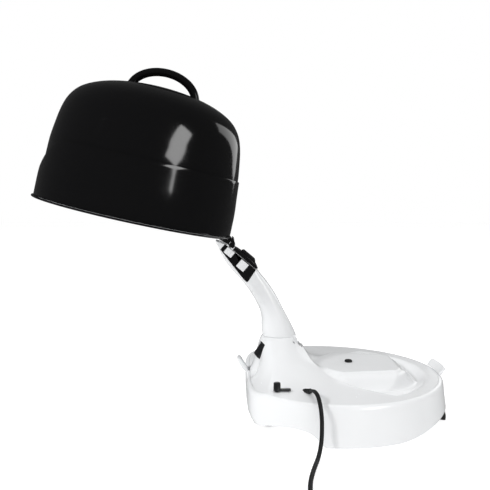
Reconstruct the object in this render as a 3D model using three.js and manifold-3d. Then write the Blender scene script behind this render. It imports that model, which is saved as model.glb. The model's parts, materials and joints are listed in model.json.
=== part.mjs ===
// Table-top hood hair dryer: a hood on a folding arm, standing on a round weighted base.
// Millimetres, +Z up. The drawing frame has its origin on the table under the centre of the
// base rim; the whole model is then moved along X so that the origin is the middle of its box.
import * as THREE from 'three';
import { mergeVertices } from 'three/addons/utils/BufferGeometryUtils.js';
import Module from 'manifold-3d';

const wasm = await Module();
wasm.setup();

// ---------------------------------------------------------------- driving dimensions
const ORIGIN_SHIFT = 127.1;      // drawing frame to part frame, along X
const GAP = 0.3;                 // clearance between pieces that touch

const HOOD_CENTRE = [-280, 0, 277];
const HOOD_TILT = 12.84;         // degrees, back of the hood lower than its front
const HOOD_SEGMENTS = 44;
const HOOD_WALL = 2.2;
const SKIRT_FOOT = 2.3;          // height of the skirt's lower edge over the rim plane
const SEAM_HEIGHT = 80;          // height of the skirt's upper edge
const SEAM_DIP = 58;             // how far that edge dips at the front
const SEAM_DIP_ANGLE = 48;       // degrees to each side of the front

const HANDLE_MIDDLE = 2.9;
const HANDLE_HALF_WIDTH = 46.8;
const HANDLE_FOOT = 176;
const HANDLE_RISE = 30.7;
const HANDLE_RADIUS = 5.8;

const HOOD_AXIS = [-142, 236.3]; // X and Z of the hood hinge, which runs along Y
const KNUCKLE_RADIUS = 6.3;
const KNUCKLE_HALF = 15.5;
const EAR_INSIDE = 17.3;
const HEAD_HALF_WIDTH = 20;
const HOOD_PIN_RADIUS = 2.6;

const FOLD_AXIS = [-54, 97.5];   // X and Z of the arm's folding hinge, which runs along Y
const FOLD_BARREL_RADIUS = 7.5;
const FOLD_BARREL_HALF = 16;
const FOLD_SWEEP_RADIUS = 11.4;  // room in the housing for the arm's heel
const HEEL_SWEEP_RADIUS = 16.2;  // and for the middle of its back edge
const HEEL_SWEEP_HALF = 14.2;
const FOLD_PIN_RADIUS = 2.6;

const ARM_WALL = 2.6;
const ARM_SEAM = 0.15;           // half the gap between the arm's two shells
const ARM_STEPS = 12;

const BASE_RADIUS = 160;
const BASE_FLARE = 6;            // extra radius at the foot of the skirt
const BASE_WALL_X = 121;         // distance of the flat end wall from the centre
const BASE_HEIGHT = 51.3;
const BASE_SEGMENTS = 72;
const CORNER_POWER = 14;         // how sharply the round side meets the flat end
const SKIRT_WALL = 3;

const COVER_RADIUS = 153.5;
const COVER_WALL_X = 114.5;
const BOWL_RADIUS = 140;
const BOWL_FLOOR = 43;
const BOWL_SLOPE = 18;
const PLATFORM_TOP = 65;
const PEDESTAL_CENTRE = -72;
const PEDESTAL_RADIUS = 24;
const PEDESTAL_TOP = 105.9;

const BLOWER_X = 55;
const DUCT_X = -69;
const HEATER = { radius: 8.6, low: 50, high: 78, sides: 16 };
const MAINS_WIDTH = 6.2;         // flat two-core lead
const MAINS_THICKNESS = 4.2;

// ---------------------------------------------------------------- materials
function finish(color, roughness, metalness = 0) {
  return new THREE.MeshStandardMaterial({ color, roughness, metalness });
}

const BLACK_GLOSS = finish(0x0b0b0c, 0.12);
const BLACK_SATIN = finish(0x151516, 0.4);
const WHITE_GLOSS = finish(0xf1f2f4, 0.22);
const WHITE_SATIN = finish(0xe4e5e7, 0.4);
const RUBBER = finish(0x121212, 0.8);
const STEEL = finish(0x9a9ca0, 0.3, 1);
const IRON = finish(0x3a3b3d, 0.6, 1);
const BRASS = finish(0xb89a58, 0.3, 1);
const MICA = finish(0xb9a98a, 0.7);
const ALUMINIUM = finish(0xb9bcc0, 0.35, 1);

// ---------------------------------------------------------------- geometry helpers
function radians(degrees) {
  return degrees * Math.PI / 180;
}

function clamp(value, low, high) {
  return Math.min(high, Math.max(low, value));
}

function smoothstep(low, high, value) {
  const t = clamp((value - low) / (high - low), 0, 1);
  return t * t * (3 - 2 * t);
}

function mix(a, b, t) {
  return a + (b - a) * t;
}

// Height or radius read off a list of [key, value] points.
function interpolate(points, key) {
  for (let i = 1; i < points.length; i += 1) {
    if (key <= points[i][0]) {
      const [k0, v0] = points[i - 1];
      const [k1, v1] = points[i];
      return mix(v0, v1, clamp((key - k0) / (k1 - k0), 0, 1));
    }
  }
  return points[points.length - 1][1];
}

// A closed solid of manifold-3d from a geometry whose faces may point in.
function toSolid(geometry) {
  const bare = new THREE.BufferGeometry();
  bare.setAttribute('position', geometry.getAttribute('position'));
  bare.setIndex(geometry.getIndex());
  const merged = mergeVertices(bare, 1e-4);
  const vertProperties = new Float32Array(merged.getAttribute('position').array);
  const corners = merged.getIndex().array;
  const kept = [];
  for (let i = 0; i < corners.length; i += 3) {
    const [a, b, c] = [corners[i], corners[i + 1], corners[i + 2]];
    if (a !== b && b !== c && a !== c) kept.push([a, b, c]);
  }
  const build = (faces) => {
    const triVerts = new Uint32Array(faces.flat());
    return new wasm.Manifold(new wasm.Mesh({ numProp: 3, vertProperties, triVerts }));
  };
  const solid = build(kept);
  return solid.volume() >= 0 ? solid : build(kept.map(([a, b, c]) => [a, c, b]));
}

function toGeometry(solid) {
  const mesh = solid.getMesh();
  const geometry = new THREE.BufferGeometry();
  geometry.setAttribute('position', new THREE.BufferAttribute(mesh.vertProperties, 3));
  geometry.setIndex(new THREE.BufferAttribute(mesh.triVerts, 1));
  geometry.computeVertexNormals();
  return geometry;
}

function outward(geometry) {
  return toGeometry(toSolid(geometry));
}

function cut(geometry, ...tools) {
  let solid = toSolid(geometry);
  for (const tool of tools) solid = solid.subtract(toSolid(tool));
  return toGeometry(solid);
}

function join(geometry, ...others) {
  let solid = toSolid(geometry);
  for (const other of others) solid = solid.add(toSolid(other));
  return toGeometry(solid);
}

function box(x0, x1, y0, y1, z0, z1) {
  const geometry = new THREE.BoxGeometry(x1 - x0, y1 - y0, z1 - z0);
  return geometry.translate((x0 + x1) / 2, (y0 + y1) / 2, (z0 + z1) / 2);
}

// A cylinder along Y through the point (x, z).
function drum(x, z, radius, y0, y1, sides = 24) {
  const geometry = new THREE.CylinderGeometry(radius, radius, y1 - y0, sides);
  return geometry.translate(x, (y0 + y1) / 2, z);
}

// A cylinder along Z over the point (x, y).
function post(x, y, radius, z0, z1, sides = 24, topRadius = radius) {
  const geometry = new THREE.CylinderGeometry(topRadius, radius, z1 - z0, sides);
  return geometry.rotateX(Math.PI / 2).translate(x, y, (z0 + z1) / 2);
}

// An outline in the X-Z plane, carried along Y.
function plate(outline, y0, y1) {
  const shape = new THREE.Shape(outline.map(([x, z]) => new THREE.Vector2(x, z)));
  const settings = { depth: y1 - y0, bevelEnabled: false };
  return new THREE.ExtrudeGeometry(shape, settings).rotateX(Math.PI / 2).translate(0, y1, 0);
}

// A profile of [radius, height] points turned round the Z axis.
function turned(profile, segments = HOOD_SEGMENTS) {
  const points = profile.map(([radius, height]) => new THREE.Vector2(radius, height));
  return outward(new THREE.LatheGeometry(points, segments).rotateX(Math.PI / 2));
}

// A closed profile of even wall from its outer line, which runs up to the axis.
function shellProfile(outer, wall) {
  const inner = outer.map(([radius, height], i) => {
    const [r0, h0] = outer[Math.max(0, i - 1)];
    const [r1, h1] = outer[Math.min(outer.length - 1, i + 1)];
    const length = Math.hypot(r1 - r0, h1 - h0);
    const inset = [radius - wall * (h1 - h0) / length, height + wall * (r1 - r0) / length];
    if (radius === 0) return [0, height - wall];
    return i === 0 ? [radius - wall, height] : inset;
  });
  return [...outer, ...inner.reverse(), outer[0]];
}

// A tube of closed rings. Rings that close on themselves (ringed) leave no end faces.
function loft(rings, ringed = false) {
  const count = rings[0].length;
  const vertices = rings.flat().flatMap((point) => [point.x, point.y, point.z]);
  const faces = [];
  const last = ringed ? rings.length : rings.length - 1;
  for (let k = 0; k < last; k += 1) {
    const next = (k + 1) % rings.length;
    for (let i = 0; i < count; i += 1) {
      const j = (i + 1) % count;
      const [a, b, c, d] = [k * count + i, k * count + j, next * count + j, next * count + i];
      faces.push(a, b, c, a, c, d);
    }
  }
  if (!ringed) {
    faces.push(...endFace(rings[0], 0, true));
    faces.push(...endFace(rings[rings.length - 1], (rings.length - 1) * count, false));
  }
  const geometry = new THREE.BufferGeometry();
  geometry.setAttribute('position', new THREE.Float32BufferAttribute(vertices, 3));
  geometry.setIndex(faces);
  return geometry;
}

// Triangles that close one end of a loft, whose ring is nearly flat.
function endFace(ring, first, reversed) {
  const normal = new THREE.Vector3();
  ring.forEach((point, i) => {
    normal.add(new THREE.Vector3().crossVectors(point, ring[(i + 1) % ring.length]));
  });
  normal.normalize();
  const side = new THREE.Vector3().crossVectors(normal, new THREE.Vector3(0.31, 0.77, 0.56));
  side.normalize();
  const up = new THREE.Vector3().crossVectors(normal, side);
  const flat = ring.map((point) => new THREE.Vector2(point.dot(side), point.dot(up)));
  const area = THREE.ShapeUtils.area(flat);
  return THREE.ShapeUtils.triangulateShape(flat, []).flatMap(([a, b, c]) => {
    const turnedRound = reversed === (area > 0);
    return turnedRound ? [first + a, first + c, first + b] : [first + a, first + b, first + c];
  });
}

// ---------------------------------------------------------------- groups
const model = new THREE.Group();
model.position.x = ORIGIN_SHIFT;
const hoodGroup = new THREE.Group();
hoodGroup.position.set(...HOOD_CENTRE);
hoodGroup.rotation.y = radians(HOOD_TILT);
model.add(hoodGroup);

function place(parent, name, geometry, material) {
  const mesh = new THREE.Mesh(geometry, material);
  mesh.name = name;
  parent.add(mesh);
}

// A point of the drawing frame seen from the tilted hood, as [along, across, up].
function inHood(x, z) {
  const c = Math.cos(radians(HOOD_TILT));
  const s = Math.sin(radians(HOOD_TILT));
  const dx = x - HOOD_CENTRE[0];
  const dz = z - HOOD_CENTRE[2];
  return [dx * c - dz * s, dx * s + dz * c];
}

// ---------------------------------------------------------------- hood
const DOME_OUTER = [
  [135.4, 12], [135, 34], [134.3, 57], [133.5, 80], [130.6, 103], [127, 126], [123.8, 136],
  [118.8, 147], [112, 156], [102, 164], [89, 171], [73.4, 176.5], [52, 180.4], [27, 182.8], [0, 183.5],
];
const SKIRT_OUTER = [[2.3, 139.6], [34, 139.3], [57, 137.3], [80, 135.6]];
const SKIRT_THICKNESS = 1.6;
const LINER_OUTER = [
  [121, 7.6], [120, 40], [118, 80], [113, 112], [104, 132], [90, 147], [68, 158], [38, 163.5],
  [0, 165],
];
const LINER_WALL = 1.6;
const LINER_FLANGE_RADIUS = 134.2;
const SCREW_RADIUS = 1.8;
const SCREW_HEAD_RADIUS = 4;

function handleEnds() {
  return [HANDLE_MIDDLE - HANDLE_HALF_WIDTH + 1.5, HANDLE_MIDDLE + HANDLE_HALF_WIDTH - 1.5];
}

function domeHeight(radius) {
  const line = DOME_OUTER.map(([r, h]) => [-r, h]);
  return interpolate(line, -radius);
}

function upperDome() {
  const shell = turned(shellProfile(DOME_OUTER, HOOD_WALL));
  const holes = handleEnds().map((u) => post(u, 0, SCREW_RADIUS + GAP, 150, 190, 12));
  return cut(shell, ...holes);
}

// The skirt's upper edge is level, and dips in a smooth curve at the front.
function seamHeight(angle) {
  const fromFront = Math.abs(Math.atan2(Math.sin(angle), -Math.cos(angle)));
  const span = radians(SEAM_DIP_ANGLE);
  if (fromFront >= span) return SEAM_HEIGHT;
  return SEAM_HEIGHT - SEAM_DIP * Math.cos((fromFront / span) * Math.PI / 2) ** 2;
}

function lowerSkirt() {
  const shares = [0, 0.35, 0.7, 1];
  const rings = [];
  for (let k = 0; k < HOOD_SEGMENTS * 1.5; k += 1) {
    const angle = (k / (HOOD_SEGMENTS * 1.5)) * 2 * Math.PI;
    const heights = shares.map((share) => mix(SKIRT_FOOT, seamHeight(angle), share));
    const around = (height, wall) => {
      const radius = interpolate(SKIRT_OUTER, height) - wall;
      return new THREE.Vector3(radius * Math.cos(angle), radius * Math.sin(angle), height);
    };
    const outer = heights.map((height) => around(height, 0));
    const inner = heights.map((height) => around(height, SKIRT_THICKNESS)).reverse();
    rings.push([...outer, ...inner]);
  }
  return outward(loft(rings, true));
}

function rimTrim() {
  return turned([
    [135, -0.4], [141.6, -0.4], [142.4, 0.4], [142.4, 1.2], [141.6, 2], [135, 2], [135, -0.4],
  ], 60);
}

function innerLiner() {
  const inner = LINER_OUTER.map(([r, h], i) => {
    if (i === 0) return [r - LINER_WALL, 6];
    return r === 0 ? [0, h - LINER_WALL] : [r - LINER_WALL, h - LINER_WALL * (h / 165)];
  });
  const flange = [[LINER_FLANGE_RADIUS, 6], [LINER_FLANGE_RADIUS, 7.6]];
  const body = turned([...inner.reverse(), ...flange, ...LINER_OUTER], 40);
  return cut(body, box(123, 135, -14, 14, 4, 10));
}

function carryHandle() {
  const points = [];
  for (let k = 0; k <= 24; k += 1) {
    const angle = Math.PI * (k / 24);
    const u = HANDLE_MIDDLE - HANDLE_HALF_WIDTH * Math.cos(angle);
    points.push(new THREE.Vector3(u, 0, HANDLE_FOOT + HANDLE_RISE * Math.sin(angle)));
  }
  const path = new THREE.CatmullRomCurve3(points);
  const section = new THREE.Shape();
  section.absarc(0, 0, HANDLE_RADIUS, 0, 2 * Math.PI);
  const settings = { steps: 26, curveSegments: 5, bevelEnabled: false, extrudePath: path };
  const bar = new THREE.ExtrudeGeometry(section, settings);
  const blank = turned([[0, 100], ...DOME_OUTER.map(([r, h]) => [r + GAP, h + GAP]).slice(3, -1),
    [0, 183.5 + GAP]], 96);
  const holes = handleEnds().map((u) => post(u, 0, SCREW_RADIUS + GAP, 170, 192.5, 12));
  return cut(bar, blank, ...holes);
}

function handleScrew(u) {
  const inside = domeHeight(Math.abs(u)) - HOOD_WALL - 1.2;
  const head = post(u, 0, SCREW_HEAD_RADIUS, inside - 2.4, inside, 16);
  const shank = post(u, 0, SCREW_RADIUS, inside - 1, 190, 12);
  return join(head, shank);
}

// The hump over the hinge, seen from the side with the pin at its origin, from its lower end.
const HUMP_TOP = [[3.8, -3.2], [5.6, 0.1], [4.3, 4.7], [2.3, 9.7], [0, 11.4], [-0.7, 11.2],
  [-0.7, 8.3], [-7.2, 8.3]];
const HUMP_HALF = 20.1;
const COVER_THICKNESS = 1.5;

function aroundPin(outline) {
  const [u, v] = inHood(...HOOD_AXIS);
  return outline.map(([along, up]) => [u + along, v + up]);
}

function hoodBracket() {
  const [u, v] = inHood(...HOOD_AXIS);
  const barrel = drum(u, v, KNUCKLE_RADIUS, -KNUCKLE_HALF, KNUCKLE_HALF, 28);
  const shelf = plate([[126, -4.4], [126, -0.7], [u - 2, -0.7], [u + 5, v + 1], [u, v]],
    -KNUCKLE_HALF, KNUCKLE_HALF);
  const hump = plate(aroundPin([...HUMP_TOP, [-9.2, 6.2], [-4, 3], [0, 0]]), -HUMP_HALF, HUMP_HALF);
  const rooms = [[-HUMP_HALF, -KNUCKLE_HALF], [KNUCKLE_HALF, HUMP_HALF]].map(([y0, y1]) => {
    return drum(u, v, KNUCKLE_RADIUS, y0, y1, 28);
  });
  const bore = drum(u, v, HOOD_PIN_RADIUS + GAP, -HUMP_HALF, HUMP_HALF, 16);
  return cut(join(cut(hump, ...rooms), barrel, shelf), bore);
}

// The covers that close the two ends of the hump over the arm's ears, each with a slot.
function hingeCover(side) {
  const [inner, outer] = [side * (HUMP_HALF + GAP), side * (HUMP_HALF + GAP + COVER_THICKNESS)];
  const outline = aroundPin([...HUMP_TOP, [-9.2, 6.2], [-7.4, 2.8]]);
  const slot = aroundPin([[-3.6, 2.3], [-2.5, 1.8], [-0.3, 6.2], [-1.3, 6.8]]);
  return cut(plate(outline, Math.min(inner, outer), Math.max(inner, outer)), plate(slot, -30, 30));
}

function buildHood() {
  place(hoodGroup, 'upper_dome', upperDome(), BLACK_GLOSS);
  place(hoodGroup, 'lower_skirt', lowerSkirt(), BLACK_GLOSS);
  place(hoodGroup, 'rim_trim', rimTrim(), BLACK_GLOSS);
  place(hoodGroup, 'inner_liner', innerLiner(), WHITE_SATIN);
  place(hoodGroup, 'carry_handle', carryHandle(), BLACK_GLOSS);
  handleEnds().forEach((u, i) => {
    place(hoodGroup, `handle_screw_${i + 1}`, handleScrew(u), STEEL);
  });
  place(hoodGroup, 'hood_bracket', hoodBracket(), BLACK_SATIN);
  place(hoodGroup, 'hinge_cover_near', hingeCover(-1), BLACK_GLOSS);
  place(hoodGroup, 'hinge_cover_far', hingeCover(1), BLACK_GLOSS);
}

// ---------------------------------------------------------------- arm
// Stations from the root to the head: front edge, back edge, half width, squareness.
const ARM_STATIONS = [
  { front: [-96, 106.4], back: [-48, 106.4], half: 24, power: 2 },
  { front: [-97.6, 117], back: [-53.5, 118.5], half: 23.2, power: 2.1 },
  { front: [-97.7, 130], back: [-60, 131], half: 22.4, power: 2.3 },
  { front: [-100, 142], back: [-67.5, 145], half: 21.8, power: 2.5 },
  { front: [-106.7, 157], back: [-77, 163.5], half: 21.2, power: 2.8 },
  { front: [-117.5, 174.5], back: [-88.5, 181], half: 20.6, power: 3.4 },
  { front: [-128, 188.3], back: [-99, 194], half: 20.2, power: 4.5 },
  { front: [-137, 198.5], back: [-106.4, 203.4], half: 20, power: 6 },
  { front: [-147.4, 211.5], back: [-119.4, 214.2], half: 20, power: 8 },
  { front: [-156, 226], back: [-134.4, 226.8], half: 20, power: 8 },
  { front: [-163.4, 243], back: [-146.4, 236.8], half: 20, power: 8 },
];
// The head's own frame: from the top of its back edge, down along it and out from it.
const HEAD_ORIGIN = [-146.4, 236.8];
const HEAD_ALONG = [0.7665, -0.6423];
const HEAD_OUT = [0.6423, 0.7665];
const PANEL_OUTLINE = [[-4.4, -11], [-4.2, -0.8], [52.8, -0.8], [55, -21], [53.4, -22.8], [47, -22.2]];
const PANEL_THICKNESS = 2.6;
const ROCKERS = [
  { name: 'power_rocker', along: 8, out: -6, length: 13.2, height: 9.4 },
  { name: 'heat_rocker', along: 34, out: -8.4, length: 13.4, height: 12.6 },
];
const ROCKER_CLEARANCE = 0.4;
const REAR_OUTLINE = [[10.5, 0.4], [52, 0.4], [54, 2.4], [49, 4.6], [34, 5.4], [20, 5.4], [13.4, 4.8],
  [10.5, 3.8]];
const REAR_HALF = 18.6;
const BUTTON = { start: 21, end: 47.2, foot: 3.4, top: 9.4, half: 8 };
const BUTTON_CLEARANCE = 0.45;

function headPoint(along, out) {
  return [
    HEAD_ORIGIN[0] + along * HEAD_ALONG[0] + out * HEAD_OUT[0],
    HEAD_ORIGIN[1] + along * HEAD_ALONG[1] + out * HEAD_OUT[1],
  ];
}

function headPlate(outline, y0, y1) {
  return plate(outline.map(([along, out]) => headPoint(along, out)), y0, y1);
}

function headBox(along0, along1, out0, out1, y0, y1) {
  const outline = [[along0, out0], [along1, out0], [along1, out1], [along0, out1]];
  return headPlate(outline, y0, y1);
}

// Half of a hollow section: the outer line from front to back, then the inner line home.
function armRing(station, side) {
  const [fx, fz] = station.front;
  const [bx, bz] = station.back;
  const half = Math.hypot(bx - fx, bz - fz) / 2;
  const along = [(bx - fx) / (2 * half), (bz - fz) / (2 * half)];
  const line = (inset) => Array.from({ length: ARM_STEPS + 1 }, (_, k) => {
    const angle = Math.PI * (k / ARM_STEPS);
    const sharp = 2 / station.power;
    const cosine = Math.cos(angle);
    const a = -(half - inset) * Math.sign(cosine) * Math.abs(cosine) ** sharp;
    const rise = Math.abs(Math.sin(angle)) ** sharp;
    const y = side * (ARM_SEAM + (station.half - inset - ARM_SEAM) * rise);
    return new THREE.Vector3((fx + bx) / 2 + a * along[0], y, (fz + bz) / 2 + a * along[1]);
  });
  return [...line(0), ...line(ARM_WALL).reverse()];
}

function armShell(side) {
  const body = outward(loft(ARM_STATIONS.map((station) => armRing(station, side))));
  const across = (inner, outer) => (side < 0 ? [-outer, -inner] : [inner, outer]);
  const [x, z] = HOOD_AXIS;
  const ear = drum(x, z, KNUCKLE_RADIUS - 0.4, ...across(EAR_INSIDE, HEAD_HALF_WIDTH), 24);
  const [fx, fz] = FOLD_AXIS;
  const barrelY = across(ARM_SEAM, FOLD_BARREL_HALF);
  const barrel = drum(fx, fz, FOLD_BARREL_RADIUS, ...barrelY, 24);
  const neck = plate([[fx - 6, fz], [fx + 4, fz + 3], [fx + 4.6, 107.5], [fx - 6, 107.5]], ...barrelY);
  const withHinges = join(body, ear, barrel, neck);
  const room = drum(x, z, KNUCKLE_RADIUS + 0.9, ...across(0, EAR_INSIDE), 24);
  const topBore = drum(x, z, HOOD_PIN_RADIUS + GAP, ...across(10, 30), 16);
  const footBore = drum(fx, fz, FOLD_PIN_RADIUS + GAP, ...across(-5, 30), 16);
  const mouth = headBox(-12, -3.4, -30, 12, ...across(0, EAR_INSIDE));
  return cut(withHinges, room, topBore, footBore, mouth);
}

function nearShell() {
  return cut(armShell(-1), headPlate(PANEL_OUTLINE, -30, -HEAD_HALF_WIDTH + ARM_WALL + 4));
}

function rockerHole(rocker) {
  const half = [rocker.length / 2 + ROCKER_CLEARANCE, rocker.height / 2 + ROCKER_CLEARANCE];
  return headBox(rocker.along - half[0], rocker.along + half[0],
    rocker.out - half[1], rocker.out + half[1], -30, 0);
}

// A convex outline with every edge moved in by a margin.
function inset(outline, margin) {
  const turn = Math.sign(THREE.ShapeUtils.area(outline.map(([x, y]) => new THREE.Vector2(x, y))));
  const edges = outline.map(([x, y], i) => {
    const [nx, ny] = outline[(i + 1) % outline.length];
    const length = Math.hypot(nx - x, ny - y);
    const normal = [-turn * (ny - y) / length, turn * (nx - x) / length];
    return { normal, reach: x * normal[0] + y * normal[1] + margin };
  });
  return outline.map((_, i) => {
    const a = edges[(i + outline.length - 1) % outline.length];
    const b = edges[i];
    const det = a.normal[0] * b.normal[1] - a.normal[1] * b.normal[0];
    return [
      (a.reach * b.normal[1] - b.reach * a.normal[1]) / det,
      (b.reach * a.normal[0] - a.reach * b.normal[0]) / det,
    ];
  });
}

function controlPanel() {
  const face = -HEAD_HALF_WIDTH - 0.3;
  const body = headPlate(inset(PANEL_OUTLINE, GAP), face, face + PANEL_THICKNESS);
  return cut(body, ...ROCKERS.map(rockerHole));
}

// A paddle with a shallow V on its face, so that one end stands proud.
function rockerPaddle(rocker) {
  const [a0, a1] = [rocker.along - rocker.length / 2, rocker.along + rocker.length / 2];
  const [o0, o1] = [rocker.out - rocker.height / 2, rocker.out + rocker.height / 2];
  const face = -HEAD_HALF_WIDTH - 1.1;
  const rows = [[a0, face - 0.7], [rocker.along, face + 0.1], [a1, face - 0.7],
    [a1 - 1, face + 2.4], [a0 + 1, face + 2.4]];
  const ring = (out) => rows.map(([along, y]) => {
    const [x, z] = headPoint(along, out);
    return new THREE.Vector3(x, y, z);
  });
  return outward(loft([ring(o0), ring(o1)]));
}

function switchBlock() {
  return headBox(7, 44, -11.4, -4.4, -14.6, -6);
}

function rearPlate() {
  const body = headPlate(REAR_OUTLINE, -REAR_HALF, REAR_HALF);
  const half = BUTTON.half + BUTTON_CLEARANCE;
  const hole = headBox(BUTTON.start - BUTTON_CLEARANCE, BUTTON.end + BUTTON_CLEARANCE, -2, 14,
    -half, half);
  return cut(body, hole);
}

function tiltButton() {
  const outline = [[BUTTON.start, BUTTON.foot], [BUTTON.end, BUTTON.foot], [BUTTON.end, BUTTON.foot + 1.4],
    [BUTTON.end - 3.4, BUTTON.top - 0.5], [BUTTON.end - 5.4, BUTTON.top], [BUTTON.start + 2, BUTTON.top],
    [BUTTON.start, BUTTON.top - 1.6]];
  return headPlate(outline, -BUTTON.half, BUTTON.half);
}

function buildArm() {
  const [hx, hz] = HOOD_AXIS;
  const [fx, fz] = FOLD_AXIS;
  place(model, 'arm_shell_near', nearShell(), WHITE_GLOSS);
  place(model, 'arm_shell_far', armShell(1), WHITE_GLOSS);
  place(model, 'control_panel', controlPanel(), BLACK_SATIN);
  for (const rocker of ROCKERS) place(model, rocker.name, rockerPaddle(rocker), WHITE_GLOSS);
  place(model, 'switch_block', switchBlock(), BLACK_SATIN);
  place(model, 'rear_plate', rearPlate(), BLACK_GLOSS);
  place(model, 'tilt_button', tiltButton(), BLACK_SATIN);
  place(model, 'hood_pin', drum(hx, hz, HOOD_PIN_RADIUS, -19.6, 19.6, 16), STEEL);
  place(model, 'fold_pin', drum(fx, fz, FOLD_PIN_RADIUS, -22, 22, 16), STEEL);
  for (const [name, side] of [['friction_washer_near', -1], ['friction_washer_far', 1]]) {
    const middle = side * (KNUCKLE_HALF + EAR_INSIDE) / 2;
    const disc = drum(hx, hz, KNUCKLE_RADIUS - 0.6, middle - 0.55, middle + 0.55, 20);
    const bore = drum(hx, hz, HOOD_PIN_RADIUS + GAP, middle - 2, middle + 2, 16);
    place(model, name, cut(disc, bore), STEEL);
  }
}

// ---------------------------------------------------------------- base
// Radius of the base's plan at an angle: a circle cut by a flat end wall on the left.
function planRadius(angle, radius, wallX) {
  const towardsWall = -Math.cos(angle);
  if (towardsWall < 0.05) return radius;
  const sum = radius ** -CORNER_POWER + (wallX / towardsWall) ** -CORNER_POWER;
  return sum ** (-1 / CORNER_POWER);
}

function planPoint(angle, radius, wallX, z) {
  const r = planRadius(angle, radius, wallX);
  return new THREE.Vector3(r * Math.cos(angle), r * Math.sin(angle), z);
}

const SKIRT_CLEAR = 1.5;         // the low part of the skirt stays just off the table
const SKIRT_RAISED = 14;         // its height at the right end
const SKIRT_ARCH = [
  [-125, 11], [-110, 13.5], [-98, 17], [-85, 19.8], [-70, 21], [-58, 20.3], [-46, 18], [-38, 13.5],
  [-31, 6], [-26, SKIRT_CLEAR],
];
const WALL_ROUNDING = 17;
const WALL_ROUNDING_TOP = 25;

// Height of the skirt's lower edge: low at the sides, raised at both ends for the air.
function skirtFoot(x) {
  if (x < -26) return interpolate(SKIRT_ARCH, x);
  return mix(SKIRT_CLEAR, SKIRT_RAISED, smoothstep(60, 158, x));
}

function endWallX(z) {
  const corner = clamp((WALL_ROUNDING_TOP - z) / WALL_ROUNDING, 0, 1);
  const rounding = WALL_ROUNDING * (1 - Math.sqrt(1 - corner * corner));
  return BASE_WALL_X - 0.02 * (BASE_HEIGHT - z) - rounding;
}

const LATCH_HALF = 10;

function baseSkirt() {
  const rows = [0, 0.22, 0.5, 0.86, 0.96];
  const rings = [];
  for (let k = 0; k < BASE_SEGMENTS; k += 1) {
    const angle = (k / BASE_SEGMENTS) * 2 * Math.PI;
    const foot = skirtFoot(BASE_RADIUS * Math.cos(angle));
    const edge = planPoint(angle, COVER_RADIUS, COVER_WALL_X, 0);
    const rise = Math.max(BASE_HEIGHT, coverHeight(edge.x, edge.y));
    const at = (share, inset) => {
      const z = mix(foot, rise, share);
      const radius = BASE_RADIUS + BASE_FLARE * Math.max(0, 1 - z / BASE_HEIGHT) ** 1.2 - inset;
      return planPoint(angle, radius, endWallX(z) - inset, z);
    };
    const top = planPoint(angle, BASE_RADIUS - 4.5, BASE_WALL_X - 4.2, rise);
    const lip = planPoint(angle, COVER_RADIUS + 0.6, COVER_WALL_X + 0.6, rise);
    const under = planPoint(angle, COVER_RADIUS + 0.6, COVER_WALL_X + 0.6, rise - 4);
    const outer = rows.map((share) => at(share, share > 0.9 ? 1.2 : 0));
    const inner = rows.slice(0, 4).map((share) => at(share, SKIRT_WALL)).reverse();
    inner[0] = planPoint(angle, COVER_RADIUS + 0.9, COVER_WALL_X + 0.9, rise - 9);
    rings.push([...outer, top, lip, under, ...inner]);
  }
  const notch = box(-130, -100, -LATCH_HALF - 0.8, LATCH_HALF + 0.8, BASE_HEIGHT, 80);
  return cut(loft(rings, true), notch);
}

// Height of the flanks that sweep up from the rim to the arm's root.
function flankHeight(x, y) {
  const dx = x - PEDESTAL_CENTRE;
  const reach = Math.hypot(dx, y);
  const d = Math.max(0, reach - PEDESTAL_RADIUS);
  const frontness = clamp((-dx / Math.max(reach, 1) - 0.2) / 0.6, 0, 1);
  const backness = clamp(dx / Math.max(reach, 1), 0, 1);
  const length = mix(mix(40, 30, backness), 12.5, frontness);
  const fall = Math.exp(-((d / length) ** (1 + frontness)));
  return BASE_HEIGHT + (PEDESTAL_TOP - BASE_HEIGHT) * fall;
}

function coverHeight(x, y) {
  const crest = -38 + 62 * (Math.abs(y) / 85) ** 1.6;
  const fromCrest = (x - crest) * 0.8;
  const fromRim = BOWL_RADIUS - Math.hypot(x, y);
  const bowl = Math.min(smoothstep(0, 15, fromCrest), smoothstep(0, BOWL_SLOPE, fromRim));
  return mix(flankHeight(x, y), BOWL_FLOOR, bowl);
}

const COVER_RINGS = [0.2, 0.33, 0.42, 0.47, 0.55, 0.64, 0.72, 0.79, 0.85, 0.9, 0.95, 1];
const COVER_WALL = 3;

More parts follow.
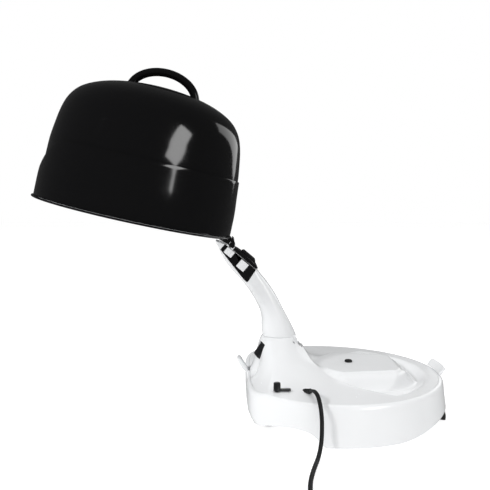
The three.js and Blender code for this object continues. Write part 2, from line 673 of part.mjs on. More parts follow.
function coverShell() {
  const segments = 60;
  const vertices = [];
  const faces = [];
  const slope = (x, y) => {
    const dx = (coverHeight(x + 1, y) - coverHeight(x - 1, y)) / 2;
    const dy = (coverHeight(x, y + 1) - coverHeight(x, y - 1)) / 2;
    return Math.hypot(dx, dy, 1);
  };
  const layer = (isTop) => {
    const height = (x, y) => {
      const top = coverHeight(x, y);
      return isTop ? top : top - COVER_WALL * Math.min(2.6, slope(x, y));
    };
    const first = vertices.length / 3;
    vertices.push(0, 0, height(0, 0));
    for (const share of COVER_RINGS) {
      for (let k = 0; k < segments; k += 1) {
        const angle = (k / segments) * 2 * Math.PI;
        const r = planRadius(angle, COVER_RADIUS, COVER_WALL_X) * share;
        const [x, y] = [r * Math.cos(angle), r * Math.sin(angle)];
        vertices.push(x, y, height(x, y));
      }
    }
    for (let k = 0; k < segments; k += 1) {
      const n = (k + 1) % segments;
      const quad = (a, b, c) => faces.push(...(isTop ? [a, b, c] : [a, c, b]));
      quad(first, first + 1 + k, first + 1 + n);
      for (let ring = 0; ring < COVER_RINGS.length - 1; ring += 1) {
        const a = first + 1 + ring * segments;
        const b = a + segments;
        quad(a + k, b + k, b + n);
        quad(a + k, b + n, a + n);
      }
    }
    return first + 1 + (COVER_RINGS.length - 1) * segments;
  };
  const top = layer(true);
  const bottom = layer(false);
  for (let k = 0; k < segments; k += 1) {
    const n = (k + 1) % segments;
    faces.push(top + k, bottom + k, bottom + n, top + k, bottom + n, top + n);
  }
  const geometry = new THREE.BufferGeometry();
  geometry.setAttribute('position', new THREE.Float32BufferAttribute(vertices, 3));
  geometry.setIndex(faces);
  return outward(geometry);
}

// The raised middle of the bowl, over the blower: an outline that narrows as it rises.
function platform(grow, low, high, taper) {
  const outline = (margin) => {
    const half = [[-34, 60], [-5, 60], [72, 51], [86, 45], [94, 34], [98, 18]];
    const side = half.map(([x, y]) => [x + (x > 60 ? margin * (x - 60) / 38 : 0), y + margin]);
    return [...side, ...side.map(([x, y]) => [x, -y]).reverse()];
  };
  const ring = (margin, z) => outline(margin).map(([x, y]) => new THREE.Vector3(x, y, z));
  return loft([ring(grow + taper, low), ring(grow, high)]);
}

// The catch sits on the front of the pedestal, turned a little to the near side.
const CATCH = { at: [-100, -13.5, 86.5], length: 21, width: 16, depth: 7, proud: 1.8 };
const CATCH_DOWN = new THREE.Vector3(-0.54, 0, -0.84).normalize();
const CATCH_OUT = new THREE.Vector3(-0.77, -0.38, 0.52).normalize();
const EXIT_DIRECTION = new THREE.Vector3(0.27, -0.89, 0.37).normalize();
const EXIT_POINT = new THREE.Vector3(-41, -124, 60);
const RELIEF_LENGTH = 26;

function catchBlock(length, width, low, high) {
  const across = new THREE.Vector3().crossVectors(CATCH_OUT, CATCH_DOWN).normalize();
  const down = new THREE.Vector3().crossVectors(across, CATCH_OUT).normalize();
  const geometry = new THREE.BoxGeometry(length, width, high - low);
  geometry.translate(0, 0, (high + low) / 2);
  const basis = new THREE.Matrix4().makeBasis(down, across, CATCH_OUT);
  basis.setPosition(...CATCH.at);
  return geometry.applyMatrix4(basis);
}

// A cone or cylinder along a direction, from its wide end.
function rod(start, direction, length, wide, narrow = wide, sides = 16) {
  const geometry = new THREE.CylinderGeometry(narrow, wide, length, sides);
  geometry.translate(0, length / 2, 0);
  const turn = new THREE.Quaternion().setFromUnitVectors(new THREE.Vector3(0, 1, 0), direction);
  return geometry.applyQuaternion(turn).translate(start.x, start.y, start.z);
}

function reliefStart() {
  return EXIT_POINT.clone().addScaledVector(EXIT_DIRECTION, -RELIEF_LENGTH);
}

function topHousing() {
  const [fx, fz] = FOLD_AXIS;
  const bosses = [-1, 1].map((side) => {
    const [y0, y1] = side < 0 ? [-23, -16.6] : [16.6, 23];
    return drum(fx, fz, 4.2, y0, y1, 16);
  });
  const step = PLATFORM_TOP - 3.5;
  const raised = join(platform(-2, BOWL_FLOOR - 2, step, 24), platform(-4, step - 1, PLATFORM_TOP, 2));
  const hollow = platform(-6, BOWL_FLOOR - 8, step - 3, 22);
  const shell = join(cut(join(coverShell(), raised), hollow), ...bosses);
  const sweep = drum(fx, fz, FOLD_SWEEP_RADIUS, -FOLD_BARREL_HALF - 0.5, FOLD_BARREL_HALF + 0.5, 28);
  const heel = drum(fx, fz, HEEL_SWEEP_RADIUS, -HEEL_SWEEP_HALF, HEEL_SWEEP_HALF, 28);
  const pinHole = drum(fx, fz, FOLD_PIN_RADIUS + GAP, -22.4, 22.4, 16);
  const throat = box(-88, -60, -15, 15, 80, 120);
  const level = box(-110, -30, -40, 40, PEDESTAL_TOP, 130);
  const pocket = catchBlock(CATCH.length + 0.9, CATCH.width + 0.9, -CATCH.depth - 4, 12);
  const exit = rod(reliefStart(), EXIT_DIRECTION, 50, 5.4, 5.4, 18);
  const knob = post(KNOB[0], KNOB[1], 3, 40, 70, 16);
  const bumper = post(BUMPER_X, 0, 3.4, 50, 80, 16);
  return cut(shell, sweep, heel, pinHole, throat, level, pocket, exit, knob, bumper);
}

const KNOB = [-82.5, -115];
const KNOB_FOOT = 58;
const BUMPER_X = 29;

function lockLever() {
  const stem = post(...KNOB, 2.6, 46, KNOB_FOOT + 1, 16);
  const knob = post(...KNOB, 4.8, KNOB_FOOT, KNOB_FOOT + 10, 24, 4.4);
  const dome = post(...KNOB, 4.4, KNOB_FOOT + 10, KNOB_FOOT + 10.8, 24, 3);
  const blade = box(KNOB[0], KNOB[0] + 17.5, KNOB[1] - 3, KNOB[1] + 3, KNOB_FOOT + 0.4, KNOB_FOOT + 2.2);
  return join(stem, knob, dome, blade);
}

function foldBumper() {
  const head = post(BUMPER_X, 0, 5.8, PLATFORM_TOP + GAP, PLATFORM_TOP + 3.2, 24, 5);
  const stem = post(BUMPER_X, 0, 3, PLATFORM_TOP - 5, PLATFORM_TOP + 1, 16);
  return join(head, stem);
}

const FLOOR_Z = [15, 18];
const INTAKE_RADIUS = 34;

function bottomPlate() {
  const rings = FLOOR_Z.map((z) => Array.from({ length: 48 }, (_, k) => {
    const angle = (k / 48) * 2 * Math.PI;
    const radius = mix(144, 156, smoothstep(-0.2, 0.2, Math.cos(angle)));
    return planPoint(angle, radius, 104, z);
  }));
  return cut(loft(rings), post(BLOWER_X, 0, INTAKE_RADIUS, 0, 30, 32));
}

function intakeGrille() {
  let grille = post(BLOWER_X, 0, INTAKE_RADIUS - GAP, FLOOR_Z[0], FLOOR_Z[1] - 0.6, 32);
  const slots = [];
  for (let k = -3; k <= 3; k += 1) {
    const reach = Math.sqrt(29 ** 2 - (k * 8) ** 2);
    slots.push(box(BLOWER_X + k * 8 - 2.2, BLOWER_X + k * 8 + 2.2, -reach, -2, 10, 20));
    slots.push(box(BLOWER_X + k * 8 - 2.2, BLOWER_X + k * 8 + 2.2, 2, reach, 10, 20));
  }
  grille = cut(grille, ...slots);
  return grille;
}

function rightFoot() {
  const rings = [0, FLOOR_Z[0] - GAP].map((z) => {
    const outer = [];
    const inner = [];
    for (let k = -6; k <= 6; k += 1) {
      const angle = radians(k * 3.9);
      const edge = z > 0 ? 159.6 : 165;
      outer.push(new THREE.Vector3(edge * Math.cos(angle), edge * Math.sin(angle), z));
      inner.unshift(new THREE.Vector3(150 * Math.cos(angle), 150 * Math.sin(angle), z));
    }
    return [...outer, ...inner];
  });
  return outward(loft(rings));
}

function leftLatch() {
  const outline = [[-119.2, 51.7], [-116.2, 51.7], [-117.6, 56.4], [-128.4, 73.2], [-131.6, 73.4],
    [-133, 70.6], [-125.4, 58], [-121, 53.4]];
  return plate(outline, -LATCH_HALF, LATCH_HALF);
}

function rightLatch() {
  const rings = [-4, -3, -2, -1, 0, 1, 2, 3, 4].map((k) => {
    const angle = radians(k * 2.6);
    const profile = [[154.6, 53.2], [158.6, 51.9], [161, 56], [164.6, 61.6], [163.4, 62.8], [159.6, 59.4]];
    return profile.map(([r, z]) => new THREE.Vector3(r * Math.cos(angle), r * Math.sin(angle), z));
  });
  return outward(loft(rings));
}

// Heights of the blower's parts, from the floor of the base up.
const BLOWER = { floor: 19, fan: 22.5, fanTop: 35, lid: 37.5, bracketTop: 39.6, motorTop: 58 };
const BLOWER_RADIUS = 46;
const FAN_RADIUS = 38;
const BLADES = 12;

function impeller() {
  const { fan, fanTop } = BLOWER;
  const disc = post(BLOWER_X, 0, FAN_RADIUS, fan, fan + 1.6, 40);
  const hub = post(BLOWER_X, 0, 8, fan + 0.5, fanTop, 20);
  const blades = Array.from({ length: BLADES }, (_, k) => {
    const blade = box(12, FAN_RADIUS - 1, -0.8, 0.8, fan + 1, fanTop - 1);
    return blade.rotateZ(radians(k * 360 / BLADES)).translate(BLOWER_X, 0, 0);
  });
  return cut(join(disc, hub, ...blades), post(BLOWER_X, 0, 2.2, fan - 2, fanTop - 3, 12));
}

function blowerHousing() {
  const { floor, lid } = BLOWER;
  const drumBody = post(BLOWER_X, 0, BLOWER_RADIUS, floor, lid, 40);
  const outlet = box(-52, BLOWER_X, -17, 17, floor, lid);
  const inside = post(BLOWER_X, 0, BLOWER_RADIUS - 2.5, floor + 2, lid + 10, 40);
  const tunnel = box(-60, BLOWER_X, -14.5, 14.5, floor + 2, lid - 2.5);
  const inlet = post(BLOWER_X, 0, 26, floor - 10, floor + 10, 28);
  return cut(join(drumBody, outlet), inside, tunnel, inlet);
}

function motorBracket() {
  const { lid, bracketTop } = BLOWER;
  const disc = post(BLOWER_X, 0, BLOWER_RADIUS, lid + GAP, bracketTop, 40);
  return cut(disc, post(BLOWER_X, 0, 6, 30, 50, 20));
}

function motor() {
  const { lid, bracketTop, motorTop } = BLOWER;
  const can = post(BLOWER_X, 0, 18, bracketTop + GAP, motorTop, 28);
  const boss = post(BLOWER_X, 0, 5.2, lid + GAP, bracketTop + 1, 16);
  return join(can, boss);
}

function motorShaft() {
  return post(BLOWER_X, 0, 1.8, BLOWER.fanTop + GAP, BLOWER.lid, 12);
}

function airDuct() {
  const { floor, lid } = BLOWER;
  const tower = box(DUCT_X - 13, DUCT_X + 13, -17, 17, floor, 84);
  const hollow = box(DUCT_X - 11, DUCT_X + 11, -15, 15, floor + 2, 100);
  const side = box(DUCT_X, -50, -14.5, 14.5, floor + 2, lid - 2.5);
  return cut(tower, hollow, side);
}

function heaterFrame() {
  const { radius, low, high } = HEATER;
  const along = box(DUCT_X - radius, DUCT_X + radius, -0.7, 0.7, low - 4, high + 4);
  const across = box(DUCT_X - 0.7, DUCT_X + 0.7, -radius, radius, low - 4, high + 4);
  return join(along, across);
}

// Resistance wire, drawn as a sleeve with waists round the mica cross.
function heaterElement() {
  const { radius, low, high, sides } = HEATER;
  const [inner, outer] = [radius + GAP, radius + GAP + 1.5];
  const profile = [[inner, low]];
  for (let z = low; z < high; z += 7) {
    profile.push([outer, z], [outer, z + 4], [outer - 0.7, z + 4.6], [outer - 0.7, z + 6.4]);
  }
  profile.push([inner, high - 0.6], [inner, low]);
  return turned(profile, sides).translate(DUCT_X, 0, 0);
}

function buildBase() {
  place(model, 'top_housing', topHousing(), WHITE_GLOSS);
  place(model, 'base_skirt', baseSkirt(), WHITE_GLOSS);
  place(model, 'bottom_plate', bottomPlate(), WHITE_SATIN);
  place(model, 'intake_grille', intakeGrille(), BLACK_SATIN);
  place(model, 'foot_right', rightFoot(), RUBBER);
  place(model, 'foot_left_near', post(-90, -74, 11, 0, FLOOR_Z[0] - GAP, 24, 12), RUBBER);
  place(model, 'foot_left_far', post(-90, 74, 11, 0, FLOOR_Z[0] - GAP, 24, 12), RUBBER);
  place(model, 'latch_left', leftLatch(), WHITE_GLOSS);
  place(model, 'latch_right', rightLatch(), WHITE_GLOSS);
  place(model, 'lock_lever', lockLever(), BLACK_SATIN);
  place(model, 'fold_catch', catchBlock(CATCH.length, CATCH.width, -CATCH.depth, CATCH.proud),
    BLACK_SATIN);
  place(model, 'fold_bumper', foldBumper(), RUBBER);
  place(model, 'blower_housing', blowerHousing(), BLACK_SATIN);
  place(model, 'impeller', impeller(), BLACK_SATIN);
  place(model, 'motor_bracket', motorBracket(), STEEL);
  place(model, 'motor', motor(), STEEL);
  place(model, 'motor_shaft', motorShaft(), STEEL);
  place(model, 'air_duct', airDuct(), MICA);
  place(model, 'heater_frame', heaterFrame(), MICA);
  place(model, 'heater_element', heaterElement(), ALUMINIUM);
  place(model, 'thermostat', post(-105, 0, 7, 30, 36, 20), ALUMINIUM);
  place(model, 'terminal_block', box(-58, -34, -92, -74, FLOOR_Z[1] + GAP, 31), WHITE_SATIN);
  place(model, 'ballast_plate', box(104, 138, -60, 60, FLOOR_Z[1] + GAP, 29), IRON);
}

// ---------------------------------------------------------------- mains lead
// The route is chosen by hand: out of the relief, over the rim, down to the table, away.
const LEAD_ROUTE = [
  [-40.9, -124.4, 60.1], [-39.6, -128.8, 61.7], [-38, -136, 63.4], [-36.6, -144, 64],
  [-35.4, -152, 62.8], [-34.4, -159.4, 59.4], [-33.6, -165.4, 54], [-33, -169.6, 47],
  [-32.6, -171.8, 38.5], [-32.6, -173, 30], [-33, -175.2, 22], [-34.2, -179.6, 14.8],
  [-36.4, -186.6, 8.8], [-39.4, -196, 4.8], [-42.8, -207, 3.4], [-46.6, -220, 3.3],
  [-50.4, -234, 3.3], [-54, -249, 3.3], [-56.8, -264, 3.3], [-58.6, -280, 3.3],
  [-59, -296, 3.3], [-57.6, -312, 3.3], [-53.6, -327, 3.3],
];
const COIL = { x: -90, y: -362, inner: 27.4, outer: 46.6, height: 19.8 };
const PLUG_AT = { x: -20, y: -372 };

function mainsLead() {
  const path = new THREE.CatmullRomCurve3(LEAD_ROUTE.map((point) => new THREE.Vector3(...point)));
  const section = new THREE.Shape();
  section.absellipse(0, 0, MAINS_THICKNESS / 2 + 0.4, MAINS_THICKNESS / 2 + 0.4, 0, 2 * Math.PI);
  const settings = { steps: 44, curveSegments: 4, bevelEnabled: false, extrudePath: path };
  return outward(new THREE.ExtrudeGeometry(section, settings));
}

function leadCoil() {
  const { inner, outer, height } = COIL;
  const profile = [[inner, 0.2], [outer, 0.2], [outer, height], [inner, height], [inner, 0.2]];
  return turned(profile, 32).translate(COIL.x, COIL.y, 0);
}

function plugBody() {
  const { x, y } = PLUG_AT;
  const face = (grow, at) => [[-9, 1], [9, 1], [12, 5], [12, 15], [9, 19], [-9, 19], [-12, 15], [-12, 5]]
    .map(([across, up]) => new THREE.Vector3(x + across * grow, y + at, 0.2 + (up - 10) * grow + 10));
  return outward(loft([face(1, -14), face(1, 8), face(0.5, 22)]));
}

function plugBlades() {
  const { x, y } = PLUG_AT;
  const bridge = box(x - 8, x + 8, y - 16, y - 14.4, 8, 12);
  const blades = [-6.5, 6.5].map((side) => box(x + side - 0.75, x + side + 0.75, y - 32, y - 15, 7, 13.4));
  return join(bridge, ...blades);
}

function buildLead() {
  const relief = rod(reliefStart(), EXIT_DIRECTION, RELIEF_LENGTH, 4.8, 3.2, 14);
  place(model, 'strain_relief', relief, RUBBER);
  place(model, 'mains_lead', mainsLead(), RUBBER);
  place(model, 'lead_coil', leadCoil(), RUBBER);
  place(model, 'plug_body', plugBody(), RUBBER);
  place(model, 'plug_blades', plugBlades(), BRASS);
}

buildHood();
buildArm();
buildBase();
buildLead();

export default model;
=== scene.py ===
"""Table-top hood hair dryer: glossy black hood, white folding arm and white round base."""
import json
import math

import bmesh
import bpy
from mathutils import Matrix, Vector

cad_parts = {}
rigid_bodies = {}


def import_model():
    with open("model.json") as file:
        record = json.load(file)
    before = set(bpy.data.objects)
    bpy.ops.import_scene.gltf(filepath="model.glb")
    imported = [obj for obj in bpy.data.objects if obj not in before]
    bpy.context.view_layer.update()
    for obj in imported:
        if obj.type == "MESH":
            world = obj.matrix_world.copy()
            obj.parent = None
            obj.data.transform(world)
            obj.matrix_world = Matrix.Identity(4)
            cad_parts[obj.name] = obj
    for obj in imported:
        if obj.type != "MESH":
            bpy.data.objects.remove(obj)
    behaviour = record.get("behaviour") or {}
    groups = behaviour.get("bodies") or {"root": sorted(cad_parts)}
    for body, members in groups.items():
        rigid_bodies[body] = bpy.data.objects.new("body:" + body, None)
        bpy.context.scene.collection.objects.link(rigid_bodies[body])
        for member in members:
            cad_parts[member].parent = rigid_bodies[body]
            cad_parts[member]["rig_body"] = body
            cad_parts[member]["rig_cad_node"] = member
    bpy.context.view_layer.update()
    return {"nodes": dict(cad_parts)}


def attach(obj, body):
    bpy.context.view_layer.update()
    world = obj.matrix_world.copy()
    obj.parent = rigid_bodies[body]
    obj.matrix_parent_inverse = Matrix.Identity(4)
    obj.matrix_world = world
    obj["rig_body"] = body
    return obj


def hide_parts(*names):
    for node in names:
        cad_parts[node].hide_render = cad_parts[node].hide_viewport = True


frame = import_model()
NODES = frame["nodes"]

bl_info = {
    "name": "Hood hair dryer",
    "version": (1, 0, 0),
    "blender": (4, 5, 0),
    "location": "3D View > Sidebar > Dryer",
    "description": "Models and finishes a table-top hood hair dryer round its packed parts",
    "category": "Add Mesh",
}

MM = 0.001
SHIFT_X = 127.1                  # from the drawing frame, in millimetres, to the part's frame


def point(x, y, z):
    """A point of the drawing frame, in millimetres, as metres in the part's frame."""
    return Vector(((x + SHIFT_X) * MM, y * MM, z * MM))


# ---------------------------------------------------------------- sizes shared with the parts
HOOD_CENTRE = Vector((-280.0, 0.0, 277.0))
HOOD_TILT = math.radians(12.84)
HOOD_STEPS = 160
DOME_WALL = 2.2
DOME_LINE = [
    (135.4, 12), (135.3, 20), (135, 34), (134.4, 57), (133.6, 80), (132.4, 92), (130.8, 103),
    (129.1, 114), (127.1, 124), (124.6, 133), (121.2, 141.5), (116.6, 149), (110.8, 155.8),
    (103, 161.8), (93.4, 167), (82.2, 171.6), (69, 175.6), (54.4, 178.8), (38.4, 181.2),
    (20.6, 182.6), (0, 183),
]
SKIRT_LINE = [(2.3, 139.6), (34, 139.3), (57, 137.3), (80, 135.6)]
RIM_LINE = [
    (135, 0), (135.4, -0.4), (141.2, -0.4), (142, -0.1), (142.4, 0.5), (142.4, 1.1),
    (142, 1.7), (141.2, 2), (135.4, 2), (135, 1.6),
]
LINER_LINE = [
    (134, 6), (134, 7.4), (122.4, 7.6), (121, 9), (120.4, 24), (119.6, 50), (118, 80),
    (115.8, 98), (112.4, 112), (106.4, 126), (97, 139), (84, 150), (67, 157.6), (48, 161.8),
    (26, 164), (0, 164.8),
]
SKIRT_WALL = 1.6
SKIRT_LIP = 0.35
SKIRT_STEPS = 288
LINER_WALL = 1.5
LINER_STEPS = 120
VENT_ROW_HEIGHT = 6.2
VENT_INNER_RADIUS = 18.0
VENT_OUTER_RADIUS = 119.8
VENT_LOWEST = 20.0
HANDLE_MIDDLE = 2.9
HANDLE_HALF = 46.8
HANDLE_FOOT = 174.0
HANDLE_RISE = 32.7
HANDLE_WIDTH = 11.6
HANDLE_DEPTH = 11.4
HANDLE_STEPS = 64
SEAM_HEIGHT = 80.0
SEAM_DIP = 58.0
SEAM_SPAN = math.radians(48)

HOOD_AXIS = (-142.0, 236.3)
FOLD_AXIS = (-54.0, 97.5)
HEAD_ORIGIN = (-146.4, 236.8)
HEAD_ALONG = (0.7665, -0.6423)
HEAD_OUT = (0.6423, 0.7665)
PIN_BORE = 2.9
EAR_RADIUS = 5.9
EAR_INNER = 17.3
EAR_OUTER = 20.0
BRACKET_ROOM = 7.2
HEEL_RADIUS = 7.5
HEEL_HALF = 16.0
NECK_TOP = 107.5
PANEL_FLOOR = 13.4
PANEL_OUTLINE = [(-4.4, -11), (-4.2, -0.8), (52.8, -0.8), (55, -21), (53.4, -22.8), (47, -22.2)]

BASE_RADIUS = 160.0
BASE_FLARE = 6.0
BASE_WALL_X = 121.0
BASE_HEIGHT = 51.3
CORNER_POWER = 14
SKIRT_CLEAR = 1.5
SKIRT_RAISED = 14.0
SKIRT_ARCH = [
    (-125, 11), (-110, 13.5), (-98, 17), (-85, 19.8), (-70, 21), (-58, 20.3), (-46, 18),
    (-38, 13.5), (-31, 6), (-26, SKIRT_CLEAR),
]
WALL_ROUNDING = 17.0
WALL_ROUNDING_TOP = 25.0
COVER_RADIUS = 153.5
COVER_WALL_X = 114.5
BOWL_RADIUS = 140.0
BOWL_FLOOR = 43.0
BOWL_SLOPE = 18.0
CREST_MIDDLE = -38.0
CREST_SWEEP = 62.0
CREST_REACH = 85.0
CREST_WIDTH = 18.75
PLATFORM_TOP = 65.0
PLATFORM_STEP = 3.5
PLATFORM_RAMP = 26.0
PLATFORM_HALF_LEFT = 60.0
PLATFORM_HALF_RIGHT = 49.0
PLATFORM_END = 98.0
PEDESTAL_CENTRE = -72.0
PEDESTAL_RADIUS = 24.0
PEDESTAL_TOP = 105.9
FLANK_SIDE = 40.0
FLANK_BACK = 30.0
FLANK_FRONT = 12.5
COVER_WALL = 2.8
COVER_AROUND = 300
COVER_RINGS = 96
CATCH_PLACE = (-100.0, -13.5, 86.5)
CATCH_OUT = Vector((-0.77, -0.38, 0.52)).normalized()
CATCH_SLOPE = Vector((-0.54, 0, -0.84))
HEEL_ROOMS = ((16.5, 11.4), (14.2, 16.2))      # half width and radius of each drum of room
LEDGE = ((0.25, 0), (0.25, 4.4), (-3, 4.4), (-3, 6), (0.9, 10))   # outwards and down
LIP_START = 0.86
LIP_RADIUS = 4.4
LIP_STEPS = 6
BASE_SKIRT_WALL = 3.0
BASE_SKIRT_STEPS = 360


# ---------------------------------------------------------------- values a user would change
class DryerHoodSizes(bpy.types.PropertyGroup):
    """Looks of the hood and its liner."""
    colour: bpy.props.FloatVectorProperty(
        name="Hood colour", description="Colour of the glossy hood", subtype="COLOR",
        size=3, min=0, max=1, default=(0.0035, 0.0035, 0.0038))
    polish: bpy.props.FloatProperty(
        name="Hood roughness", description="How soft the reflections on the hood are",
        subtype="FACTOR", min=0, max=1, default=0.09)
    vent_margin: bpy.props.FloatProperty(
        name="Vent margin", description="Width of liner left round each air hole's quad",
        subtype="DISTANCE", unit="LENGTH", min=0.0002, max=0.002, default=0.0008)


class DryerBodySizes(bpy.types.PropertyGroup):
    """Looks of the arm and the base."""
    white: bpy.props.FloatVectorProperty(
        name="Body colour", description="Colour of the arm and the base", subtype="COLOR",
        size=3, min=0, max=1, default=(0.86, 0.87, 0.88))
    polish: bpy.props.FloatProperty(
        name="Body roughness", description="How soft the reflections on the body are",
        subtype="FACTOR", min=0, max=1, default=0.2)
    edge: bpy.props.FloatProperty(
        name="Edge rounding", description="Rounding of the lever's and the switch block's edges",
        subtype="DISTANCE", unit="LENGTH", min=0.0001, max=0.002, default=0.0006)


class DryerLeadSizes(bpy.types.PropertyGroup):
    """Sizes of the mains lead."""
    width: bpy.props.FloatProperty(
        name="Lead width", description="Width of the flat two-core lead",
        subtype="DISTANCE", unit="LENGTH", min=0.003, max=0.01, default=0.0052)
    thickness: bpy.props.FloatProperty(
        name="Lead thickness", description="Thickness of the flat two-core lead",
        subtype="DISTANCE", unit="LENGTH", min=0.002, max=0.008, default=0.0042)
    turns: bpy.props.IntProperty(
        name="Coil turns", description="Turns of the spare lead in its coil",
        min=1, max=12, default=6)


# ---------------------------------------------------------------- mesh helpers
def clamp(value, low, high):
    """The value, kept between two limits."""
    return min(high, max(low, value))


def mix(a, b, t):
    """The value at a share t of the way from a to b."""
    return a + (b - a) * t


def smoothstep(low, high, value):
    """Rises softly from 0 at the low value to 1 at the high one."""
    t = clamp((value - low) / (high - low), 0.0, 1.0)
    return t * t * (3 - 2 * t)


def interpolate(points, key):
    """The second number of a list of pairs, read off at a first number."""
    for (k0, v0), (k1, v1) in zip(points, points[1:]):
        if key <= k1:
            return mix(v0, v1, clamp((key - k0) / (k1 - k0), 0.0, 1.0))
    return points[-1][1]


def select_nothing():
    """Leaves edit mode and selects nothing."""
    if bpy.context.object and bpy.context.object.mode != "OBJECT":
        bpy.ops.object.mode_set(mode="OBJECT")
    bpy.ops.object.select_all(action="DESELECT")


def select_only(obj):
    """Selects this object and nothing else."""
    select_nothing()
    obj.select_set(True)
    bpy.context.view_layer.objects.active = obj


def edit(obj):
    """Opens an object in edit mode with all of it selected."""
    select_only(obj)
    bpy.ops.object.mode_set(mode="EDIT")
    bpy.ops.mesh.select_mode(type="VERT")
    bpy.ops.mesh.select_all(action="SELECT")


def leave_edit():
    """Goes back to object mode."""
    bpy.ops.object.mode_set(mode="OBJECT")


def apply_modifiers(obj):
    """Puts the result of every modifier into the mesh."""
    select_only(obj)
    for modifier in list(obj.modifiers):
        bpy.ops.object.modifier_apply(modifier=modifier.name)


def smooth(obj, degrees=32):
    """Shades an object smooth, apart from edges sharper than the angle."""
    select_only(obj)
    bpy.ops.object.shade_smooth_by_angle(angle=math.radians(degrees))


def mesh_piece(name, vertices, faces):
    """A new object from points in metres and faces."""
    mesh = bpy.data.meshes.new(name)
    mesh.from_pydata([tuple(v) for v in vertices], [], faces)
    mesh.validate()
    obj = bpy.data.objects.new(name, mesh)
    bpy.context.scene.collection.objects.link(obj)
    return obj


def clean(obj, distance=1e-5):
    """Merges doubles and turns every face outwards."""
    edit(obj)
    bpy.ops.mesh.remove_doubles(threshold=distance)
    bpy.ops.mesh.normals_make_consistent(inside=False)
    leave_edit()
    return obj


def spun(name, line, steps, closed=True):
    """A line of (radius, height) points in millimetres, spun round the Z axis."""
    select_nothing()
    bpy.ops.mesh.primitive_plane_add(size=0.001, location=(0, 0, 0))
    obj = bpy.context.object
    obj.name = name
    obj.data.name = name
    edit(obj)
    bpy.ops.mesh.merge(type="CENTER")
    points = [Vector((radius * MM, 0, height * MM)) for radius, height in line]
    bpy.ops.transform.translate(value=points[0])
    for start, end in zip(points, points[1:]):
        bpy.ops.mesh.extrude_vertices_move(TRANSFORM_OT_translate={"value": end - start})
    if closed:
        bpy.ops.mesh.extrude_vertices_move(
            TRANSFORM_OT_translate={"value": points[0] - points[-1]})
    bpy.ops.mesh.select_all(action="SELECT")
    bpy.ops.mesh.spin(steps=steps, angle=2 * math.pi, center=(0, 0, 0), axis=(0, 0, 1))
    leave_edit()
    return clean(obj)


def into_place(obj, location, turn):
    """Moves and turns an object, then puts its place into its mesh."""
    obj.location = location
    obj.rotation_euler = turn
    select_only(obj)
    bpy.ops.object.transform_apply(location=True, rotation=True, scale=True)
    return obj


def walled(line, wall):
    """A closed line of even wall from its outer line, which ends on the axis."""
    inner = []
    for i, (radius, height) in enumerate(line):
        r0, h0 = line[max(0, i - 1)]
        r1, h1 = line[min(len(line) - 1, i + 1)]
        length = math.hypot(r1 - r0, h1 - h0)
        if radius == 0:
            inner.append((0.0, height - wall))
        elif i == 0:
            inner.append((radius - wall, height))
        else:
            inner.append((radius - wall * (h1 - h0) / length, height + wall * (r1 - r0) / length))
    return list(line) + inner[::-1]


def ring_faces(rings, count, ringed):
    """Quads between rings of points, each ring closed on itself."""
    faces = []
    for k in range(rings if ringed else rings - 1):
        n = (k + 1) % rings
        for i in range(count):
            j = (i + 1) % count
            faces.append((k * count + i, k * count + j, n * count + j, n * count + i))
    return faces


def lofted(name, rings, ringed=False):
    """A closed tube through rings of points in metres, with its ends closed."""
    count = len(rings[0])
    faces = ring_faces(len(rings), count, ringed)
    if not ringed:
        faces.append(tuple(range(count))[::-1])
        faces.append(tuple(range((len(rings) - 1) * count, len(rings) * count)))
    obj = mesh_piece(name, [p for ring in rings for p in ring], faces)
    return clean(obj)


def smooth_path(points, per_span):
    """Points of a smooth curve through the given points."""
    points = [Vector(p) for p in points]
    padded = [2 * points[0] - points[1]] + points + [2 * points[-1] - points[-2]]
    path = []
    for i in range(len(points) - 1):
        a, b, c, d = padded[i:i + 4]
        for k in range(per_span):
            t = k / per_span
            path.append(0.5 * (2 * b + (c - a) * t + (2 * a - 5 * b + 4 * c - d) * t * t
                               + (3 * b - a - 3 * c + d) * t ** 3))
    path.append(points[-1])
    return path


def swept(name, path, section, up=Vector((0, 0, 1)), scale=None):
    """A closed tube with a flat section of (across, up) points carried along a path."""
    rings = []
    side = None
    for i, here in enumerate(path):
        ahead = path[min(i + 1, len(path) - 1)] - path[max(i - 1, 0)]
        ahead.normalize()
        if side is None:
            side = ahead.cross(up).normalized()
        side = (side - ahead * side.dot(ahead)).normalized()
        lift = side.cross(ahead).normalized()
        grow = scale(i / (len(path) - 1)) if scale else 1.0
        rings.append([here + side * a * grow + lift * b * grow for a, b in section])
    return lofted(name, rings)


def oval(width, height, sides, power=2.0):
    """A rounded section, from an ellipse to nearly a box."""
    points = []
    for k in range(sides):
        angle = 2 * math.pi * k / sides
        c, s = math.cos(angle), math.sin(angle)
        points.append((width / 2 * math.copysign(abs(c) ** (2 / power), c),
                       height / 2 * math.copysign(abs(s) ** (2 / power), s)))
    return points


def cylinder_tool(start, end, radius, sides=48):
    """A plain cylinder between two points, for cutting."""
    axis = end - start
    select_nothing()
    bpy.ops.mesh.primitive_cylinder_add(vertices=sides, radius=radius, depth=axis.length)
    obj = bpy.context.object
    turn = axis.to_track_quat("Z", "Y").to_euler()
    return into_place(obj, (start + end) / 2, turn)


def block_tool(low, high):
    """A plain box between two corners, for cutting."""
    select_nothing()
    bpy.ops.mesh.primitive_cube_add(size=1, location=(low + high) / 2)
    obj = bpy.context.object
    obj.scale = high - low
    bpy.ops.object.transform_apply(location=True, rotation=True, scale=True)
    return obj


def prism(outline, y0, y1):
    """An outline of (x, z) points of the drawing frame carried along Y."""
    rings = [[point(x, y, z) for x, z in outline] for y in (y0, y1)]
    return lofted("prism", rings)


